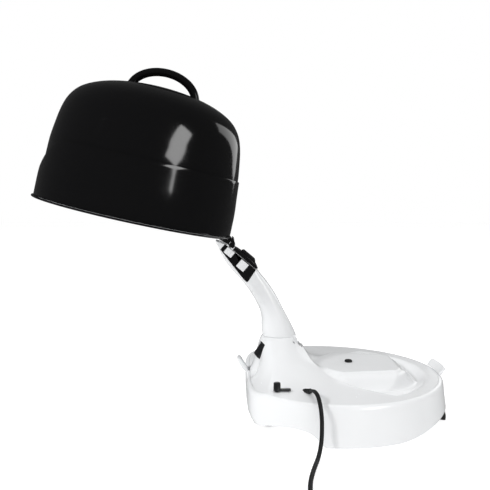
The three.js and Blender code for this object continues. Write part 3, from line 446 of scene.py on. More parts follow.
def combine(obj, tool, operation="DIFFERENCE"):
    """Cuts an object with a tool, or joins the two, and removes the tool."""
    modifier = obj.modifiers.new("Combine", "BOOLEAN")
    modifier.operation = operation
    modifier.solver = "EXACT"
    modifier.object = tool
    apply_modifiers(obj)
    bpy.data.objects.remove(tool)


def rounded(obj, width, segments, angle):
    """Rounds the edges of an object that are sharper than an angle."""
    modifier = obj.modifiers.new("Rounding", "BEVEL")
    modifier.width = width
    modifier.segments = segments
    modifier.limit_method = "ANGLE"
    modifier.angle_limit = math.radians(angle)
    apply_modifiers(obj)


def finished(obj, body, finish, slot, *nodes):
    """Gives a piece its finish and its body, and hides the CAD nodes that it stands for."""
    obj.data.materials.clear()
    obj.data.materials.append(MATERIALS[finish])
    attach(obj, body)
    if nodes:
        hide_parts(*nodes)
    return obj


def finished_node(node, finish):
    """Gives a CAD node its finish where the node itself is shown."""
    NODES[node].data.materials.clear()
    NODES[node].data.materials.append(MATERIALS[finish])
    return NODES[node]


def hood_piece(obj, angle, finish, slot, node):
    """Puts a piece that was made upright into the tilted hood and finishes it."""
    into_place(obj, point(*HOOD_CENTRE), (0.0, HOOD_TILT, 0.0))
    smooth(obj, angle)
    finished(obj, "hood", finish, slot, node)


def piece_from_node(node, body, finish, slot, width=None, angle=35, segments=3):
    """A finished copy of a CAD node, with its edges rounded by a width in millimetres.

    With no width given the user's edge rounding is used, and with 0 the edges stay sharp.
    """
    obj = NODES[node].copy()
    obj.data = NODES[node].data.copy()
    obj.name = node + "_made"
    obj.data.name = obj.name
    obj.parent = None
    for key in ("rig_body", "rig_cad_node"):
        if key in obj:
            del obj[key]
    obj.data.materials.clear()
    bpy.context.scene.collection.objects.link(obj)
    edit(obj)
    bpy.ops.mesh.remove_doubles(threshold=2e-6)
    bpy.ops.mesh.dissolve_limited(angle_limit=math.radians(1.0))
    bpy.ops.mesh.normals_make_consistent(inside=False)
    leave_edit()
    if width is None:
        rounded(obj, bpy.context.scene.dryer_body.edge, segments, angle)
    elif width > 0:
        rounded(obj, width * MM, segments, angle)
    smooth(obj)
    return finished(obj, body, finish, slot, node)


def head_point(along, out):
    """A point of the arm's head as (x, z), from its place along and out of the head."""
    return (HEAD_ORIGIN[0] + along * HEAD_ALONG[0] + out * HEAD_OUT[0],
            HEAD_ORIGIN[1] + along * HEAD_ALONG[1] + out * HEAD_OUT[1])


# ---------------------------------------------------------------- shader maths
class Value:
    """A socket that can be used in a Python expression."""

    def __init__(self, shader, socket):
        self.shader = shader
        self.socket = socket

    def _maths(self, operation, *others):
        return self.shader.node("ShaderNodeMath", {"operation": operation},
                                dict(enumerate((self, *others))))

    def __add__(self, other):
        return self._maths("ADD", other)

    def __radd__(self, other):
        return self._maths("ADD", other)

    def __sub__(self, other):
        return self._maths("SUBTRACT", other)

    def __rsub__(self, other):
        return self.shader.node("ShaderNodeMath", {"operation": "SUBTRACT"}, {0: other, 1: self})

    def __mul__(self, other):
        return self._maths("MULTIPLY", other)

    def __rmul__(self, other):
        return self._maths("MULTIPLY", other)

    def clamped(self):
        return self.shader.node("ShaderNodeClamp", {}, {"Value": self})


class Nodes:
    """A node tree that gets its nodes with their settings and what feeds them."""

    def __init__(self, tree):
        self.tree = tree

    def node(self, kind, settings, inputs, output=0):
        """Adds a node with its settings, then its values or links."""
        made = self.tree.nodes.new(kind)
        for key, value in settings.items():
            setattr(made, key, value)
        for key, value in inputs.items():
            self._feed(made.inputs[key], value)
        return Value(self, made.outputs[output])

    def _feed(self, socket, value):
        if isinstance(value, Value):
            self.tree.links.new(value.socket, socket)
        elif isinstance(value, (tuple, list)) and len(value) == 3 and socket.type == "RGBA":
            socket.default_value = (*value, 1.0)
        else:
            socket.default_value = value


class Shader(Nodes):
    """A procedural material with one surface shader."""

    def __init__(self, name):
        self.material = bpy.data.materials.new(name)
        self.material.use_nodes = True
        super().__init__(self.material.node_tree)
        self.surface = self.tree.nodes["Principled BSDF"]

    def set(self, **sockets):
        """Sets or links the surface shader's sockets, named with underscores for spaces."""
        for key, value in sockets.items():
            self._feed(self.surface.inputs[key.replace("_", " ")], value)

    def place(self, scale):
        """Object coordinates, in metres, stretched by a scale."""
        where = self.node("ShaderNodeTexCoord", {}, {}, "Object")
        return self.node("ShaderNodeMapping", {}, {"Vector": where, "Scale": scale})

    def noise(self, scale, detail, roughness, stretch=(1, 1, 1), distortion=0.0):
        """Cloudy noise from 0 to 1 on the object's own coordinates."""
        return self.node("ShaderNodeTexNoise", {}, {
            "Vector": self.place(stretch), "Scale": scale, "Detail": detail,
            "Roughness": roughness, "Distortion": distortion})

    def blend(self, factor, a, b):
        """A colour between two, by a factor from 0 to 1."""
        return self.node("ShaderNodeMix", {"data_type": "RGBA"}, {0: factor, 6: a, 7: b}, 2)

    def share(self, value, low, high):
        """Where a value lies between two limits, from 0 to 1."""
        return self.node("ShaderNodeMapRange", {"clamp": True}, {
            "Value": value, "From Min": low, "From Max": high, "To Min": 0, "To Max": 1})

    def bump(self, height, strength, distance, normal=None):
        """A surface direction from a height, on top of another one if that is given."""
        inputs = {"Height": height, "Strength": strength, "Distance": distance}
        if normal is not None:
            inputs["Normal"] = normal
        return self.node("ShaderNodeBump", {}, inputs)


def tinted(colour, factor):
    """A colour made darker or lighter."""
    return tuple(clamp(c * factor, 0, 1) for c in colour)


def polished_plastic(name, colour, roughness, dust, smear, wave=0.00002):
    """Moulded glossy plastic: faint flow waves, finger smears, fine scratches and dust."""
    s = Shader(name)
    cloud = s.noise(9, 4, 0.55)
    smears = s.share(s.noise(26, 5, 0.6, (1, 1, 0.5), 0.6), 0.48, 0.72)
    scratches = s.share(s.noise(420, 2, 0.5, (1, 0.05, 0.4)), 0.66, 0.74)
    specks = s.share(s.noise(900, 1, 0.4), 0.72, 0.8)
    base = s.blend(cloud, tinted(colour, 0.94), tinted(colour, 1.06))
    dusty = s.blend((specks * dust).clamped(), base, (0.55, 0.54, 0.52))
    rough = (roughness + smears * smear + scratches * smear * 0.7 + cloud * 0.02).clamped()
    waves = s.bump(s.noise(38, 2, 0.4), 0.25, wave)
    fine = s.bump(scratches, 0.06, 0.000004, waves)
    s.set(Base_Color=dusty, Roughness=rough, Normal=fine, IOR=1.49)
    return s.material


def satin_plastic(name, colour, roughness):
    """Moulded plastic with a fine spark-eroded grain."""
    s = Shader(name)
    texture = s.noise(1500, 2, 0.55)
    cloud = s.noise(30, 4, 0.5)
    wear = s.share(s.noise(60, 5, 0.65), 0.55, 0.8)
    base = s.blend(cloud, tinted(colour, 0.85), tinted(colour, 1.25))
    rough = (roughness - 0.07 + cloud * 0.1 - wear * 0.05 + texture * 0.04).clamped()
    s.set(Base_Color=base, Roughness=rough, Normal=s.bump(texture, 0.35, 0.00003))
    return s.material


def soft_rubber(name, colour):
    """Matt moulded rubber with a dusty bloom."""
    s = Shader(name)
    bloom = s.share(s.noise(70, 5, 0.6), 0.45, 0.75)
    grain = s.noise(1900, 2, 0.5)
    base = s.blend(bloom, colour, tinted(colour, 2.2))
    rough = (0.62 + bloom * 0.12 + grain * 0.06).clamped()
    s.set(Base_Color=base, Roughness=rough, Normal=s.bump(grain, 0.3, 0.00004))
    return s.material


def plain_metal(name, colour, roughness, stretch=(1, 1, 1)):
    """Turned or pressed metal with fine machining lines and a little tarnish."""
    s = Shader(name)
    lines = s.noise(900, 2, 0.5, stretch)
    tarnish = s.share(s.noise(55, 5, 0.6), 0.5, 0.75)
    base = s.blend(tarnish, colour, tinted(colour, 0.72))
    rough = (roughness + lines * 0.12 + tarnish * 0.14).clamped()
    s.set(Base_Color=base, Roughness=rough, Metallic=1.0, Normal=s.bump(lines, 0.25, 0.00002))
    return s.material


def raw_casting(name, colour):
    """Rough grey casting."""
    s = Shader(name)
    pits = s.noise(260, 6, 0.7)
    rust = s.share(s.noise(40, 5, 0.7), 0.55, 0.72)
    base = s.blend(rust, colour, (0.16, 0.08, 0.045))
    s.set(Base_Color=base, Roughness=(0.6 + rust * 0.2).clamped(), Metallic=(0.9 - rust * 0.6),
          Normal=s.bump(pits, 0.7, 0.0004))
    return s.material


def mica_board(name):
    """Layered heat-proof board with flecks."""
    s = Shader(name)
    flecks = s.share(s.noise(320, 3, 0.6, (1, 1, 0.3)), 0.5, 0.7)
    layers = s.noise(120, 4, 0.6, (0.3, 0.3, 3))
    base = s.blend(flecks, (0.5, 0.43, 0.3), (0.72, 0.66, 0.52))
    s.set(Base_Color=base, Roughness=(0.5 + layers * 0.25).clamped(),
          Normal=s.bump(layers, 0.4, 0.00008))
    return s.material


MATERIALS = {}


def make_materials():
    """Makes every finish, under the name that the pieces ask for."""
    hood = bpy.context.scene.dryer_hood
    body = bpy.context.scene.dryer_body
    black = tuple(hood.colour)
    white = tuple(body.white)
    MATERIALS.update({
        "hood_black": polished_plastic("Hood black", black, hood.polish, 0.012, 0.03),
        "trim_black": polished_plastic("Trim black", (0.006, 0.006, 0.0065), 0.14, 0.012, 0.04),
        "black_satin": satin_plastic("Black satin", (0.012, 0.012, 0.013), 0.34),
        "body_white": polished_plastic("Body white", white, body.polish, 0.05, 0.06, 0.00003),
        "key_white": polished_plastic("Key white", white, 0.3, 0.03, 0.06),
        "inner_white": satin_plastic("Inner white", (0.74, 0.75, 0.76), 0.42),
        "black_rubber": soft_rubber("Black rubber", (0.012, 0.012, 0.012)),
        "lead_black": soft_rubber("Lead black", (0.008, 0.008, 0.0085)),
        "steel": plain_metal("Steel", (0.6, 0.61, 0.63), 0.28),
        "iron": raw_casting("Iron casting", (0.09, 0.09, 0.095)),
        "pin_brass": plain_metal("Pin brass", (0.72, 0.55, 0.27), 0.2, (1, 0.1, 1)),
        "mica": mica_board("Mica board"),
        "alloy": plain_metal("Alloy", (0.7, 0.71, 0.73), 0.3),
    })


# ---------------------------------------------------------------- stage
CAMERA_PLACE = (-135.3, -914.4, 303.5)
CAMERA_YAW = 0.852
CAMERA_PITCH = 4.225
CAMERA_LENS = 46.96
FLOOR_SIZE = 14
FLOOR_GLOW = 0.68
SKY_LIGHT = 0.58
SKY_MIRRORED = 0.06
SKY_SEEN = 1.0
HOOD_AIM = (-0.15, 0, 0.3)
BASE_AIM = (0.05, 0, 0.1)


def softbox(name, location, target, width, height, power, in_reflections):
    """A rectangular light that faces a point, and is either only mirrored or only lights."""
    light = bpy.data.lights.new(name, "AREA")
    light.shape = "RECTANGLE"
    light.size = width
    light.size_y = height
    light.energy = power
    obj = bpy.data.objects.new(name, light)
    bpy.context.scene.collection.objects.link(obj)
    obj.location = location
    obj.rotation_euler = (Vector(target) - Vector(location)).to_track_quat("-Z", "Z").to_euler()
    obj.visible_glossy = in_reflections
    obj.visible_diffuse = not in_reflections


class DRYER_OT_stage(bpy.types.Operator):
    """Makes the camera, the pale floor and the studio lights"""
    bl_idname = "dryer.stage"
    bl_label = "Stage"

    def execute(self, context):
        scene = context.scene
        camera = bpy.data.objects.new("Camera", bpy.data.cameras.new("Camera"))
        scene.collection.objects.link(camera)
        camera.location = point(*CAMERA_PLACE)
        camera.rotation_euler = (math.radians(90 - CAMERA_PITCH), 0, -math.radians(CAMERA_YAW))
        camera.data.lens = CAMERA_LENS
        camera.data.sensor_width = 36
        camera.data.clip_end = 50
        scene.camera = camera
        select_nothing()
        bpy.ops.mesh.primitive_plane_add(size=FLOOR_SIZE, location=(0, 0, 0))
        floor = context.object
        floor.name = "Floor"
        s = Shader("Pale floor")
        grey = s.blend(s.noise(3, 3, 0.5), (0.6, 0.6, 0.6), (0.64, 0.64, 0.64))
        s.set(Base_Color=grey, Roughness=0.7, Emission_Color=(1, 1, 1),
              Emission_Strength=FLOOR_GLOW)
        floor.data.materials.append(s.material)
        floor.visible_glossy = False
        softbox("Reflection light", (0.98, -1.12, 0.7), HOOD_AIM, 0.46, 0.74, 7, True)
        softbox("Key light", (-1.9, -1.4, 1.6), BASE_AIM, 0.3, 0.3, 26, False)
        softbox("Fill light", (1.6, -1.2, 1.7), BASE_AIM, 1.8, 1.8, 4, False)
        softbox("Overhead light", (0.1, 0.1, 2.4), BASE_AIM, 2.0, 2.0, 20, False)
        softbox("Edge light", (1.15, 1.0, 0.75), (-0.15, 0, 0.35), 0.5, 1.3, 3, True)
        self.sky(scene)
        scene.view_settings.view_transform = "Standard"
        return {"FINISHED"}

    @staticmethod
    def sky(scene):
        """A white surround that glossy surfaces see much darker."""
        world = bpy.data.worlds.new("Studio")
        scene.world = world
        world.use_nodes = True
        world.node_tree.nodes.clear()
        sky = Nodes(world.node_tree)

        def glow(strength):
            return sky.node("ShaderNodeBackground", {},
                            {"Color": (1, 1, 1), "Strength": strength})

        def either(ray, plain, for_ray):
            is_ray = sky.node("ShaderNodeLightPath", {}, {}, ray)
            return sky.node("ShaderNodeMixShader", {}, {0: is_ray, 1: plain, 2: for_ray})
        mirrored = either("Is Glossy Ray", glow(SKY_LIGHT), glow(SKY_MIRRORED))
        seen = either("Is Camera Ray", mirrored, glow(SKY_SEEN))
        out = world.node_tree.nodes.new("ShaderNodeOutputWorld")
        world.node_tree.links.new(seen.socket, out.inputs["Surface"])


# ---------------------------------------------------------------- mains lead
LEAD_ROUTE = [
    (-40.9, -124.4, 60.1), (-39.6, -128.8, 61.7), (-38, -136, 63.4), (-36.6, -144, 64),
    (-35.4, -152, 62.8), (-34.4, -159.4, 59.4), (-33.6, -165.4, 54), (-33, -169.6, 47),
    (-32.6, -171.8, 38.5), (-32.6, -173, 30), (-33, -175.2, 22), (-34.2, -179.6, 14.8),
    (-36.4, -186.6, 8.8), (-39.4, -196, 4.8), (-42.8, -207, 3.4), (-46.6, -220, 3.3),
    (-50.4, -234, 3.3), (-54, -249, 3.3), (-56.8, -264, 3.3), (-58.6, -280, 3.3),
    (-59, -296, 3.3), (-57.6, -312, 3.3), (-53.6, -327, 3.3),
]
COIL_CENTRE = (-90.0, -362.0)
COIL_START = math.radians(28)
COIL_STEPS = 20
OUTER_TURN = 41.4
INNER_TURN = 34.9
COIL_LAYERS = [
    (OUTER_TURN, 3.3), (INNER_TURN, 3.3), (INNER_TURN, 8.6), (OUTER_TURN, 8.6),
    (INNER_TURN, 13.9), (OUTER_TURN, 13.9),
]
EXIT_DIRECTION = Vector((0.27, -0.89, 0.37)).normalized()
EXIT_POINT = Vector((-41, -124, 60))
RELIEF_LENGTH = 26.0
RELIEF_STEPS = 96
RELIEF_RIBS = 7
RELIEF_RIB_DEPTH = 0.55
RELIEF_RADIUS = 4.7
RELIEF_TIP_RADIUS = 3.2
PLUG_PLACE = (-20.0, -372.0)
PLUG_MIDDLE = 10.2
PLUG_BEND = 30.0
PLUG_BEND_STEPS = 6


def coil_points(turns):
    """The spare lead: turns laid in two columns, clockwise from where the route meets them."""
    points = []
    whole = turns - 1
    part = (COIL_START + 1.5 * math.pi) / (2 * math.pi)
    count = round((whole + part) * COIL_STEPS)
    for k in range(count + 1):
        share = (whole + part) * k / count
        here = min(int(share), whole)
        radius, height = COIL_LAYERS[here % len(COIL_LAYERS)]
        next_radius, next_height = COIL_LAYERS[min(here + 1, whole) % len(COIL_LAYERS)]
        t = smoothstep(0.72, 1.0, share - here)
        radius = mix(radius, next_radius, t)
        height = mix(height, next_height, t)
        angle = COIL_START - 2 * math.pi * share
        points.append((COIL_CENTRE[0] + radius * math.cos(angle),
                       COIL_CENTRE[1] + radius * math.sin(angle), height))
    return points


def tail_points():
    """The end of the lead: off the top of the coil and round into the plug."""
    x, y = PLUG_PLACE
    top = COIL_CENTRE[1] + OUTER_TURN
    points = [(COIL_CENTRE[0] + 14, top, 13.7), (COIL_CENTRE[0] + 27, top, 13.2)]
    for k in range(PLUG_BEND_STEPS + 1):
        angle = math.pi / 2 * (1 - k / PLUG_BEND_STEPS)
        points.append((x - PLUG_BEND + PLUG_BEND * math.cos(angle),
                       top - PLUG_BEND + PLUG_BEND * math.sin(angle),
                       mix(12.6, PLUG_MIDDLE, k / PLUG_BEND_STEPS)))
    points.append((x, y + 14, PLUG_MIDDLE))
    return points


def path_length(path):
    """Length of a path in metres."""
    return sum((b - a).length for a, b in zip(path, path[1:]))


class DRYER_OT_lead(bpy.types.Operator):
    """Makes the mains lead with its coil, strain relief and plug"""
    bl_idname = "dryer.lead"
    bl_label = "Mains lead"

    def execute(self, context):
        sizes = context.scene.dryer_lead
        route = [point(*p) for p in LEAD_ROUTE + coil_points(sizes.turns) + tail_points()]
        path = smooth_path(route, 5)
        section = oval(sizes.width, sizes.thickness, 14, 2.3)
        lead = swept("mains_lead_made", path, section)
        smooth(lead, 50)
        finished(lead, "base", "lead_black", "black_rubber", "mains_lead", "lead_coil")
        plug = piece_from_node("plug_body", "base", "black_rubber", "black_rubber", 1.6, 20, 4)
        blades = finished_node("plug_blades", "pin_brass")
        path_length(path)
        self.relief()
        return {"FINISHED"}

    @staticmethod
    def relief():
        """A tapered sleeve with ribs where the lead leaves the flank."""
        start = EXIT_POINT - EXIT_DIRECTION * RELIEF_LENGTH
        path = [point(*(start + EXIT_DIRECTION * RELIEF_LENGTH * k / RELIEF_STEPS))
                for k in range(RELIEF_STEPS + 1)]

        def grow(t):
            """Share of the sleeve's full radius, which tapers and dips between the ribs."""
            rib = 0.5 + 0.5 * math.cos(2 * math.pi * t * RELIEF_RIBS)
            taper = mix(RELIEF_RADIUS, RELIEF_TIP_RADIUS, smoothstep(0.3, 1.0, t))
            dip = RELIEF_RIB_DEPTH * (1 - rib) * smoothstep(0.42, 0.5, t)
            return (taper - dip) / RELIEF_RADIUS
        section = oval(2 * RELIEF_RADIUS * MM, 2 * RELIEF_RADIUS * MM, 32)
        relief = swept("strain_relief_made", path, section, scale=grow)
        smooth(relief, 50)
        finished(relief, "base", "black_rubber", "black_rubber", "strain_relief")


# ---------------------------------------------------------------- hood
def seam_height(angle):
    """Height of the skirt's upper edge, which dips in a smooth curve at the front."""
    from_front = abs(math.atan2(math.sin(angle), -math.cos(angle)))
    if from_front >= SEAM_SPAN:
        return SEAM_HEIGHT
    return SEAM_HEIGHT - SEAM_DIP * math.cos(from_front / SEAM_SPAN * math.pi / 2) ** 2


def soft_line(line):
    """A finer line of pairs through the same pairs."""
    return [(p.x, p.y) for p in smooth_path([Vector((a, b, 0)) for a, b in line], 3)]


def soft_profile(line):
    """A finer profile for spinning, which ends on the axis."""
    fine = [(max(radius, 0.0), height) for radius, height in soft_line(line)]
    fine[-1] = (0.0, line[-1][1])
    return fine


class DRYER_OT_hood(bpy.types.Operator):
    """Makes the two-part hood with its rim, handle and bracket"""
    bl_idname = "dryer.hood"
    bl_label = "Hood"

    def execute(self, context):
        self.dome()
        self.skirt()
        self.rim()
        self.handle()
        piece_from_node("hood_bracket", "hood", "black_satin", "black_satin", 0.5)
        for node in ("hinge_cover_near", "hinge_cover_far"):
            piece_from_node(node, "hood", "trim_black", "hood_black", 0.5)
        for node in ("handle_screw_1", "handle_screw_2"):
            finished_node(node, "steel")
        return {"FINISHED"}

    @staticmethod
    def dome():
        """The bowl above the seam, an even wall spun round its axis."""
        dome = spun("upper_dome_made", walled(soft_profile(DOME_LINE), DOME_WALL), HOOD_STEPS)
        hood_piece(dome, 40, "hood_black", "hood_black", "upper_dome")

    @staticmethod
    def skirt():
        """A ring whose upper edge follows the seam, with a fine rounded lip."""
        rows = [0.0, 0.01, 0.12, 0.24, 0.36, 0.48, 0.6, 0.72, 0.84, 0.94, 0.985, 1.0]
        fine = soft_line(SKIRT_LINE)
        rings = []
        for k in range(SKIRT_STEPS):
            angle = 2 * math.pi * k / SKIRT_STEPS
            outer = []
            inner = []
            for share in rows:
                height = mix(SKIRT_LINE[0][0], seam_height(angle), share)
                radius = interpolate(fine, height)
                lip = SKIRT_LIP if share in (0.0, 1.0) else 0.0
                outer.append((radius - lip, height))
                inner.append((radius - SKIRT_WALL, height))
            line = outer + inner[::-1]
            rings.append([Vector((r * math.cos(angle), r * math.sin(angle), h)) * MM
                          for r, h in line])
        skirt = lofted("lower_skirt_made", rings, True)
        hood_piece(skirt, 40, "hood_black", "hood_black", "lower_skirt")

    @staticmethod
    def rim():
        """The raised trim round the opening."""
        rim = spun("rim_trim_made", RIM_LINE, HOOD_STEPS)
        hood_piece(rim, 30, "trim_black", "hood_black", "rim_trim")

    @staticmethod
    def handle():
        """A round bar bent into an arch, with its feet spread a little on the dome."""
        path = []
        for k in range(HANDLE_STEPS + 1):
            angle = math.pi * k / HANDLE_STEPS
            path.append(Vector((HANDLE_MIDDLE - HANDLE_HALF * math.cos(angle), 0,
                                HANDLE_FOOT + HANDLE_RISE * math.sin(angle))) * MM)

        def grow(t):
            """Share of the bar's width, which grows towards both feet."""
            foot = max(1 - t / 0.12, 1 - (1 - t) / 0.12, 0)
            return 1.0 + 0.22 * foot ** 2
        section = oval(HANDLE_WIDTH * MM, HANDLE_DEPTH * MM, 28)
        handle = swept("carry_handle_made", path, section, Vector((0, 1, 0)), grow)
        hood_piece(handle, 50, "hood_black", "hood_black", "carry_handle")


class DRYER_OT_liner(bpy.types.Operator):
    """Makes the white inner liner with its rows of air holes"""
    bl_idname = "dryer.liner"
    bl_label = "Liner"

    def execute(self, context):
        liner = spun("inner_liner_made", soft_profile(LINER_LINE), LINER_STEPS, closed=False)
        self.pierce(liner, context.scene.dryer_hood.vent_margin)
        modifier = liner.modifiers.new("Wall", "SOLIDIFY")
        modifier.thickness = LINER_WALL * MM
        modifier.offset = -1
        apply_modifiers(liner)
        hood_piece(liner, 35, "inner_white", "inner_white", "inner_liner")
        return {"FINISHED"}

    @staticmethod
    def pierce(liner, margin):
        """Opens a small hole in some of the liner's quads, in staggered rows."""
        mesh = bmesh.new()
        mesh.from_mesh(liner.data)
        mesh.normal_update()
        chosen = []
        for face in mesh.faces:
            middle = face.calc_center_median()
            radius = math.hypot(middle.x, middle.y) / MM
            height = middle.z / MM
            if len(face.verts) != 4 or radius < VENT_INNER_RADIUS or height < VENT_LOWEST:
                continue
            row = round(height / VENT_ROW_HEIGHT)
            column = round(math.atan2(middle.y, middle.x) / (2 * math.pi) * LINER_STEPS)
            if radius < VENT_OUTER_RADIUS and row % 3 == 0 and (column + row) % 4 == 0:
                chosen.append(face)
        bmesh.ops.inset_individual(mesh, faces=chosen, thickness=margin)
        bmesh.ops.delete(mesh, geom=chosen, context="FACES_ONLY")
        mesh.to_mesh(liner.data)
        mesh.free()


# ---------------------------------------------------------------- arm
ARM_STATIONS = [
    ((-96, 106.05), (-48, 106.05), 24, 2),
    ((-97.6, 117), (-53.5, 118.5), 23.2, 2.1),
    ((-97.7, 130), (-60, 131), 22.4, 2.3),
    ((-100, 142), (-67.5, 145), 21.8, 2.5),
    ((-106.7, 157), (-77, 163.5), 21.2, 2.8),
    ((-117.5, 174.5), (-88.5, 181), 20.6, 3.4),
    ((-128, 188.3), (-99, 194), 20.2, 4.5),
    ((-137, 198.5), (-106.4, 203.4), 20, 6),
    ((-147.4, 211.5), (-119.4, 214.2), 20, 8),
    ((-156, 226), (-134.4, 226.8), 20, 8),
    ((-163.4, 243), (-146.4, 236.8), 20, 8),
]
ARM_WALL = 2.4
ARM_SEAM = 0.15
ARM_AROUND = 44


def arm_sections():
    """The stations of the arm, with smooth ones between them."""
    fronts = smooth_path([Vector((s[0][0], 0, s[0][1])) for s in ARM_STATIONS], 6)
    backs = smooth_path([Vector((s[1][0], 0, s[1][1])) for s in ARM_STATIONS], 6)
    sizes = smooth_path([Vector((s[2], s[3], 0)) for s in ARM_STATIONS], 6)
    return [(f, b, s.x, max(2.0, s.y)) for f, b, s in zip(fronts, backs, sizes)]


def arm_ring(section, side):
    """Half of a hollow section: the outer line from front to back, then the inner one."""
    front, back, width, power = section
    half = (back - front).length / 2
    along = (back - front).normalized()
    middle = (front + back) / 2

    def line(inset):
        """From the front to the back of the section, at an inset from its outside."""
        points = []
        for k in range(ARM_AROUND + 1):
            angle = math.pi * k / ARM_AROUND
            c = math.cos(angle)
            rise = abs(math.sin(angle)) ** (2 / power)
            a = -(half - inset) * math.copysign(abs(c) ** (2 / power), c)
            y = side * (ARM_SEAM + (width - inset - ARM_SEAM) * rise)
            here = middle + along * a
            points.append(point(here.x, y, here.z))
        return points
    return line(0.0) + line(ARM_WALL)[::-1]


class DRYER_OT_arm(bpy.types.Operator):
    """Makes the arm's two shells with their hinge ears"""
    bl_idname = "dryer.arm"
    bl_label = "Arm"

    def execute(self, context):
        for side, node in ((-1, "arm_shell_near"), (1, "arm_shell_far")):
            self.shell(side, node)
        for node in ("hood_pin", "friction_washer_near", "friction_washer_far"):
            piece_from_node(node, "arm", "steel", "steel", 0.25)
        piece_from_node("fold_pin", "base", "steel", "steel", 0.25)
        return {"FINISHED"}

    @staticmethod
    def shell(side, node):
        """Half of the arm with its ear, heel and neck, bored for both pins."""
        shell = lofted(node + "_made", [arm_ring(s, side) for s in arm_sections()])
        x, z = FOLD_AXIS

        def drum(axis, radius, y0, y1, sides=64):
            return cylinder_tool(point(axis[0], side * y0, axis[1]),
                                 point(axis[0], side * y1, axis[1]), radius * MM, sides)

        def plate(outline, y0, y1):
            return prism(outline, *sorted((side * y0, side * y1)))
        combine(shell, drum(HOOD_AXIS, EAR_RADIUS, EAR_INNER, EAR_OUTER), "UNION")
        combine(shell, drum(FOLD_AXIS, HEEL_RADIUS, ARM_SEAM, HEEL_HALF), "UNION")
        neck = [(x - 6, z), (x + 4, z + 3), (x + 4.6, NECK_TOP), (x - 6, NECK_TOP)]
        combine(shell, plate(neck, ARM_SEAM, HEEL_HALF), "UNION")
        combine(shell, drum(HOOD_AXIS, BRACKET_ROOM, -1, EAR_INNER))
        combine(shell, drum(HOOD_AXIS, PIN_BORE, 10, 30, 32))
        combine(shell, drum(FOLD_AXIS, PIN_BORE, -5, 30, 32))
        mouth = [head_point(a, b) for a, b in ((-12, -30), (-3.4, -30), (-3.4, 12), (-12, 12))]
        combine(shell, plate(mouth, -1, EAR_INNER))
        if side < 0:
            window = [head_point(a, b) for a, b in PANEL_OUTLINE]
            combine(shell, plate(window, PANEL_FLOOR, 30))
        clean(shell, 2e-6)
        smooth(shell, 35)
        finished(shell, "arm", "body_white", "body_white", node)


class DRYER_OT_controls(bpy.types.Operator):
    """Makes the switch panel, its two rockers, the rear cover and the tilt button"""
    bl_idname = "dryer.controls"
    bl_label = "Controls"

    def execute(self, context):
        piece_from_node("control_panel", "arm", "trim_black", "black_satin", 0.45)
        piece_from_node("power_rocker", "power_switch", "key_white", "body_white", 0.5, 8)
        piece_from_node("heat_rocker", "heat_switch", "key_white", "body_white", 0.5, 8)
        piece_from_node("switch_block", "arm", "black_satin", "black_satin")
        piece_from_node("rear_plate", "arm", "trim_black", "hood_black", 0.9, 12, 4)
        piece_from_node("tilt_button", "tilt_release", "black_satin", "black_satin", 1.0, 12, 4)
        return {"FINISHED"}


# ---------------------------------------------------------------- base
def plan_radius(angle, radius, wall_x):
    """Radius of the base's plan: a circle cut by a flat end wall."""
    towards_wall = -math.cos(angle)
    if towards_wall < 0.05:
        return radius
    total = radius ** -CORNER_POWER + (wall_x / towards_wall) ** -CORNER_POWER
    return total ** (-1 / CORNER_POWER)


def plan_point(angle, radius, wall_x, z):
    """A point of the base at a height, from its angle round the plan."""
    r = plan_radius(angle, radius, wall_x)
    return point(r * math.cos(angle), r * math.sin(angle), z)


SOFT_ARCH = soft_line(SKIRT_ARCH)


def skirt_foot(x):
    """Height of the skirt's lower edge: low at the sides, raised at both ends."""
    if x < SKIRT_ARCH[-1][0]:
        return interpolate(SOFT_ARCH, x)
    return mix(SKIRT_CLEAR, SKIRT_RAISED, smoothstep(60, 158, x))


def skirt_radius(z):
    """Radius of the skirt, which flares towards the table."""
    return BASE_RADIUS + BASE_FLARE * max(0.0, 1 - z / BASE_HEIGHT) ** 1.2


def end_wall(z):
    """Place of the flat end wall, which is rounded under towards its foot."""
    corner = clamp((WALL_ROUNDING_TOP - z) / WALL_ROUNDING, 0.0, 1.0)
    rounding = WALL_ROUNDING * (1 - math.sqrt(1 - corner * corner))
    return BASE_WALL_X - 0.02 * (BASE_HEIGHT - z) - rounding


def flank_height(x, y):
    """Height of the flanks that sweep up from the rim to the arm's root."""
    dx = x - PEDESTAL_CENTRE
    reach = math.hypot(dx, y)
    d = max(0.0, reach - PEDESTAL_RADIUS)
    front = clamp((-dx / max(reach, 1) - 0.2) / 0.6, 0.0, 1.0)
    back = clamp(dx / max(reach, 1), 0.0, 1.0)
    length = mix(mix(FLANK_SIDE, FLANK_BACK, back), FLANK_FRONT, front)
    fall = math.exp(-((d / length) ** (1 + front)))
    return BASE_HEIGHT + (PEDESTAL_TOP - BASE_HEIGHT) * fall


def platform_height(x, y):
    """Height of the raised platform in the bowl: a ramp all round, then a small step."""
    side = mix(PLATFORM_HALF_LEFT, PLATFORM_HALF_RIGHT, clamp((x + 5) / 90, 0, 1)) - abs(y)
    corner = PLATFORM_END - x - max(0.0, abs(y) - 29) ** 2 / 38
    inside = min(side, corner)
    ramp = (PLATFORM_TOP - BOWL_FLOOR - PLATFORM_STEP) * smoothstep(-PLATFORM_RAMP, 0, inside)
    return BOWL_FLOOR + ramp + PLATFORM_STEP * smoothstep(-1.5, 2.5, inside)


def cover_height(x, y):
    """Height of the dished cover: the flanks, with the bowl let in behind their crest."""
    crest = CREST_MIDDLE + CREST_SWEEP * (abs(y) / CREST_REACH) ** 1.6
    from_rim = BOWL_RADIUS - math.hypot(x, y)
    bowl = min(smoothstep(0, CREST_WIDTH, x - crest), smoothstep(0, BOWL_SLOPE, from_rim))
    return mix(flank_height(x, y), platform_height(x, y), bowl)


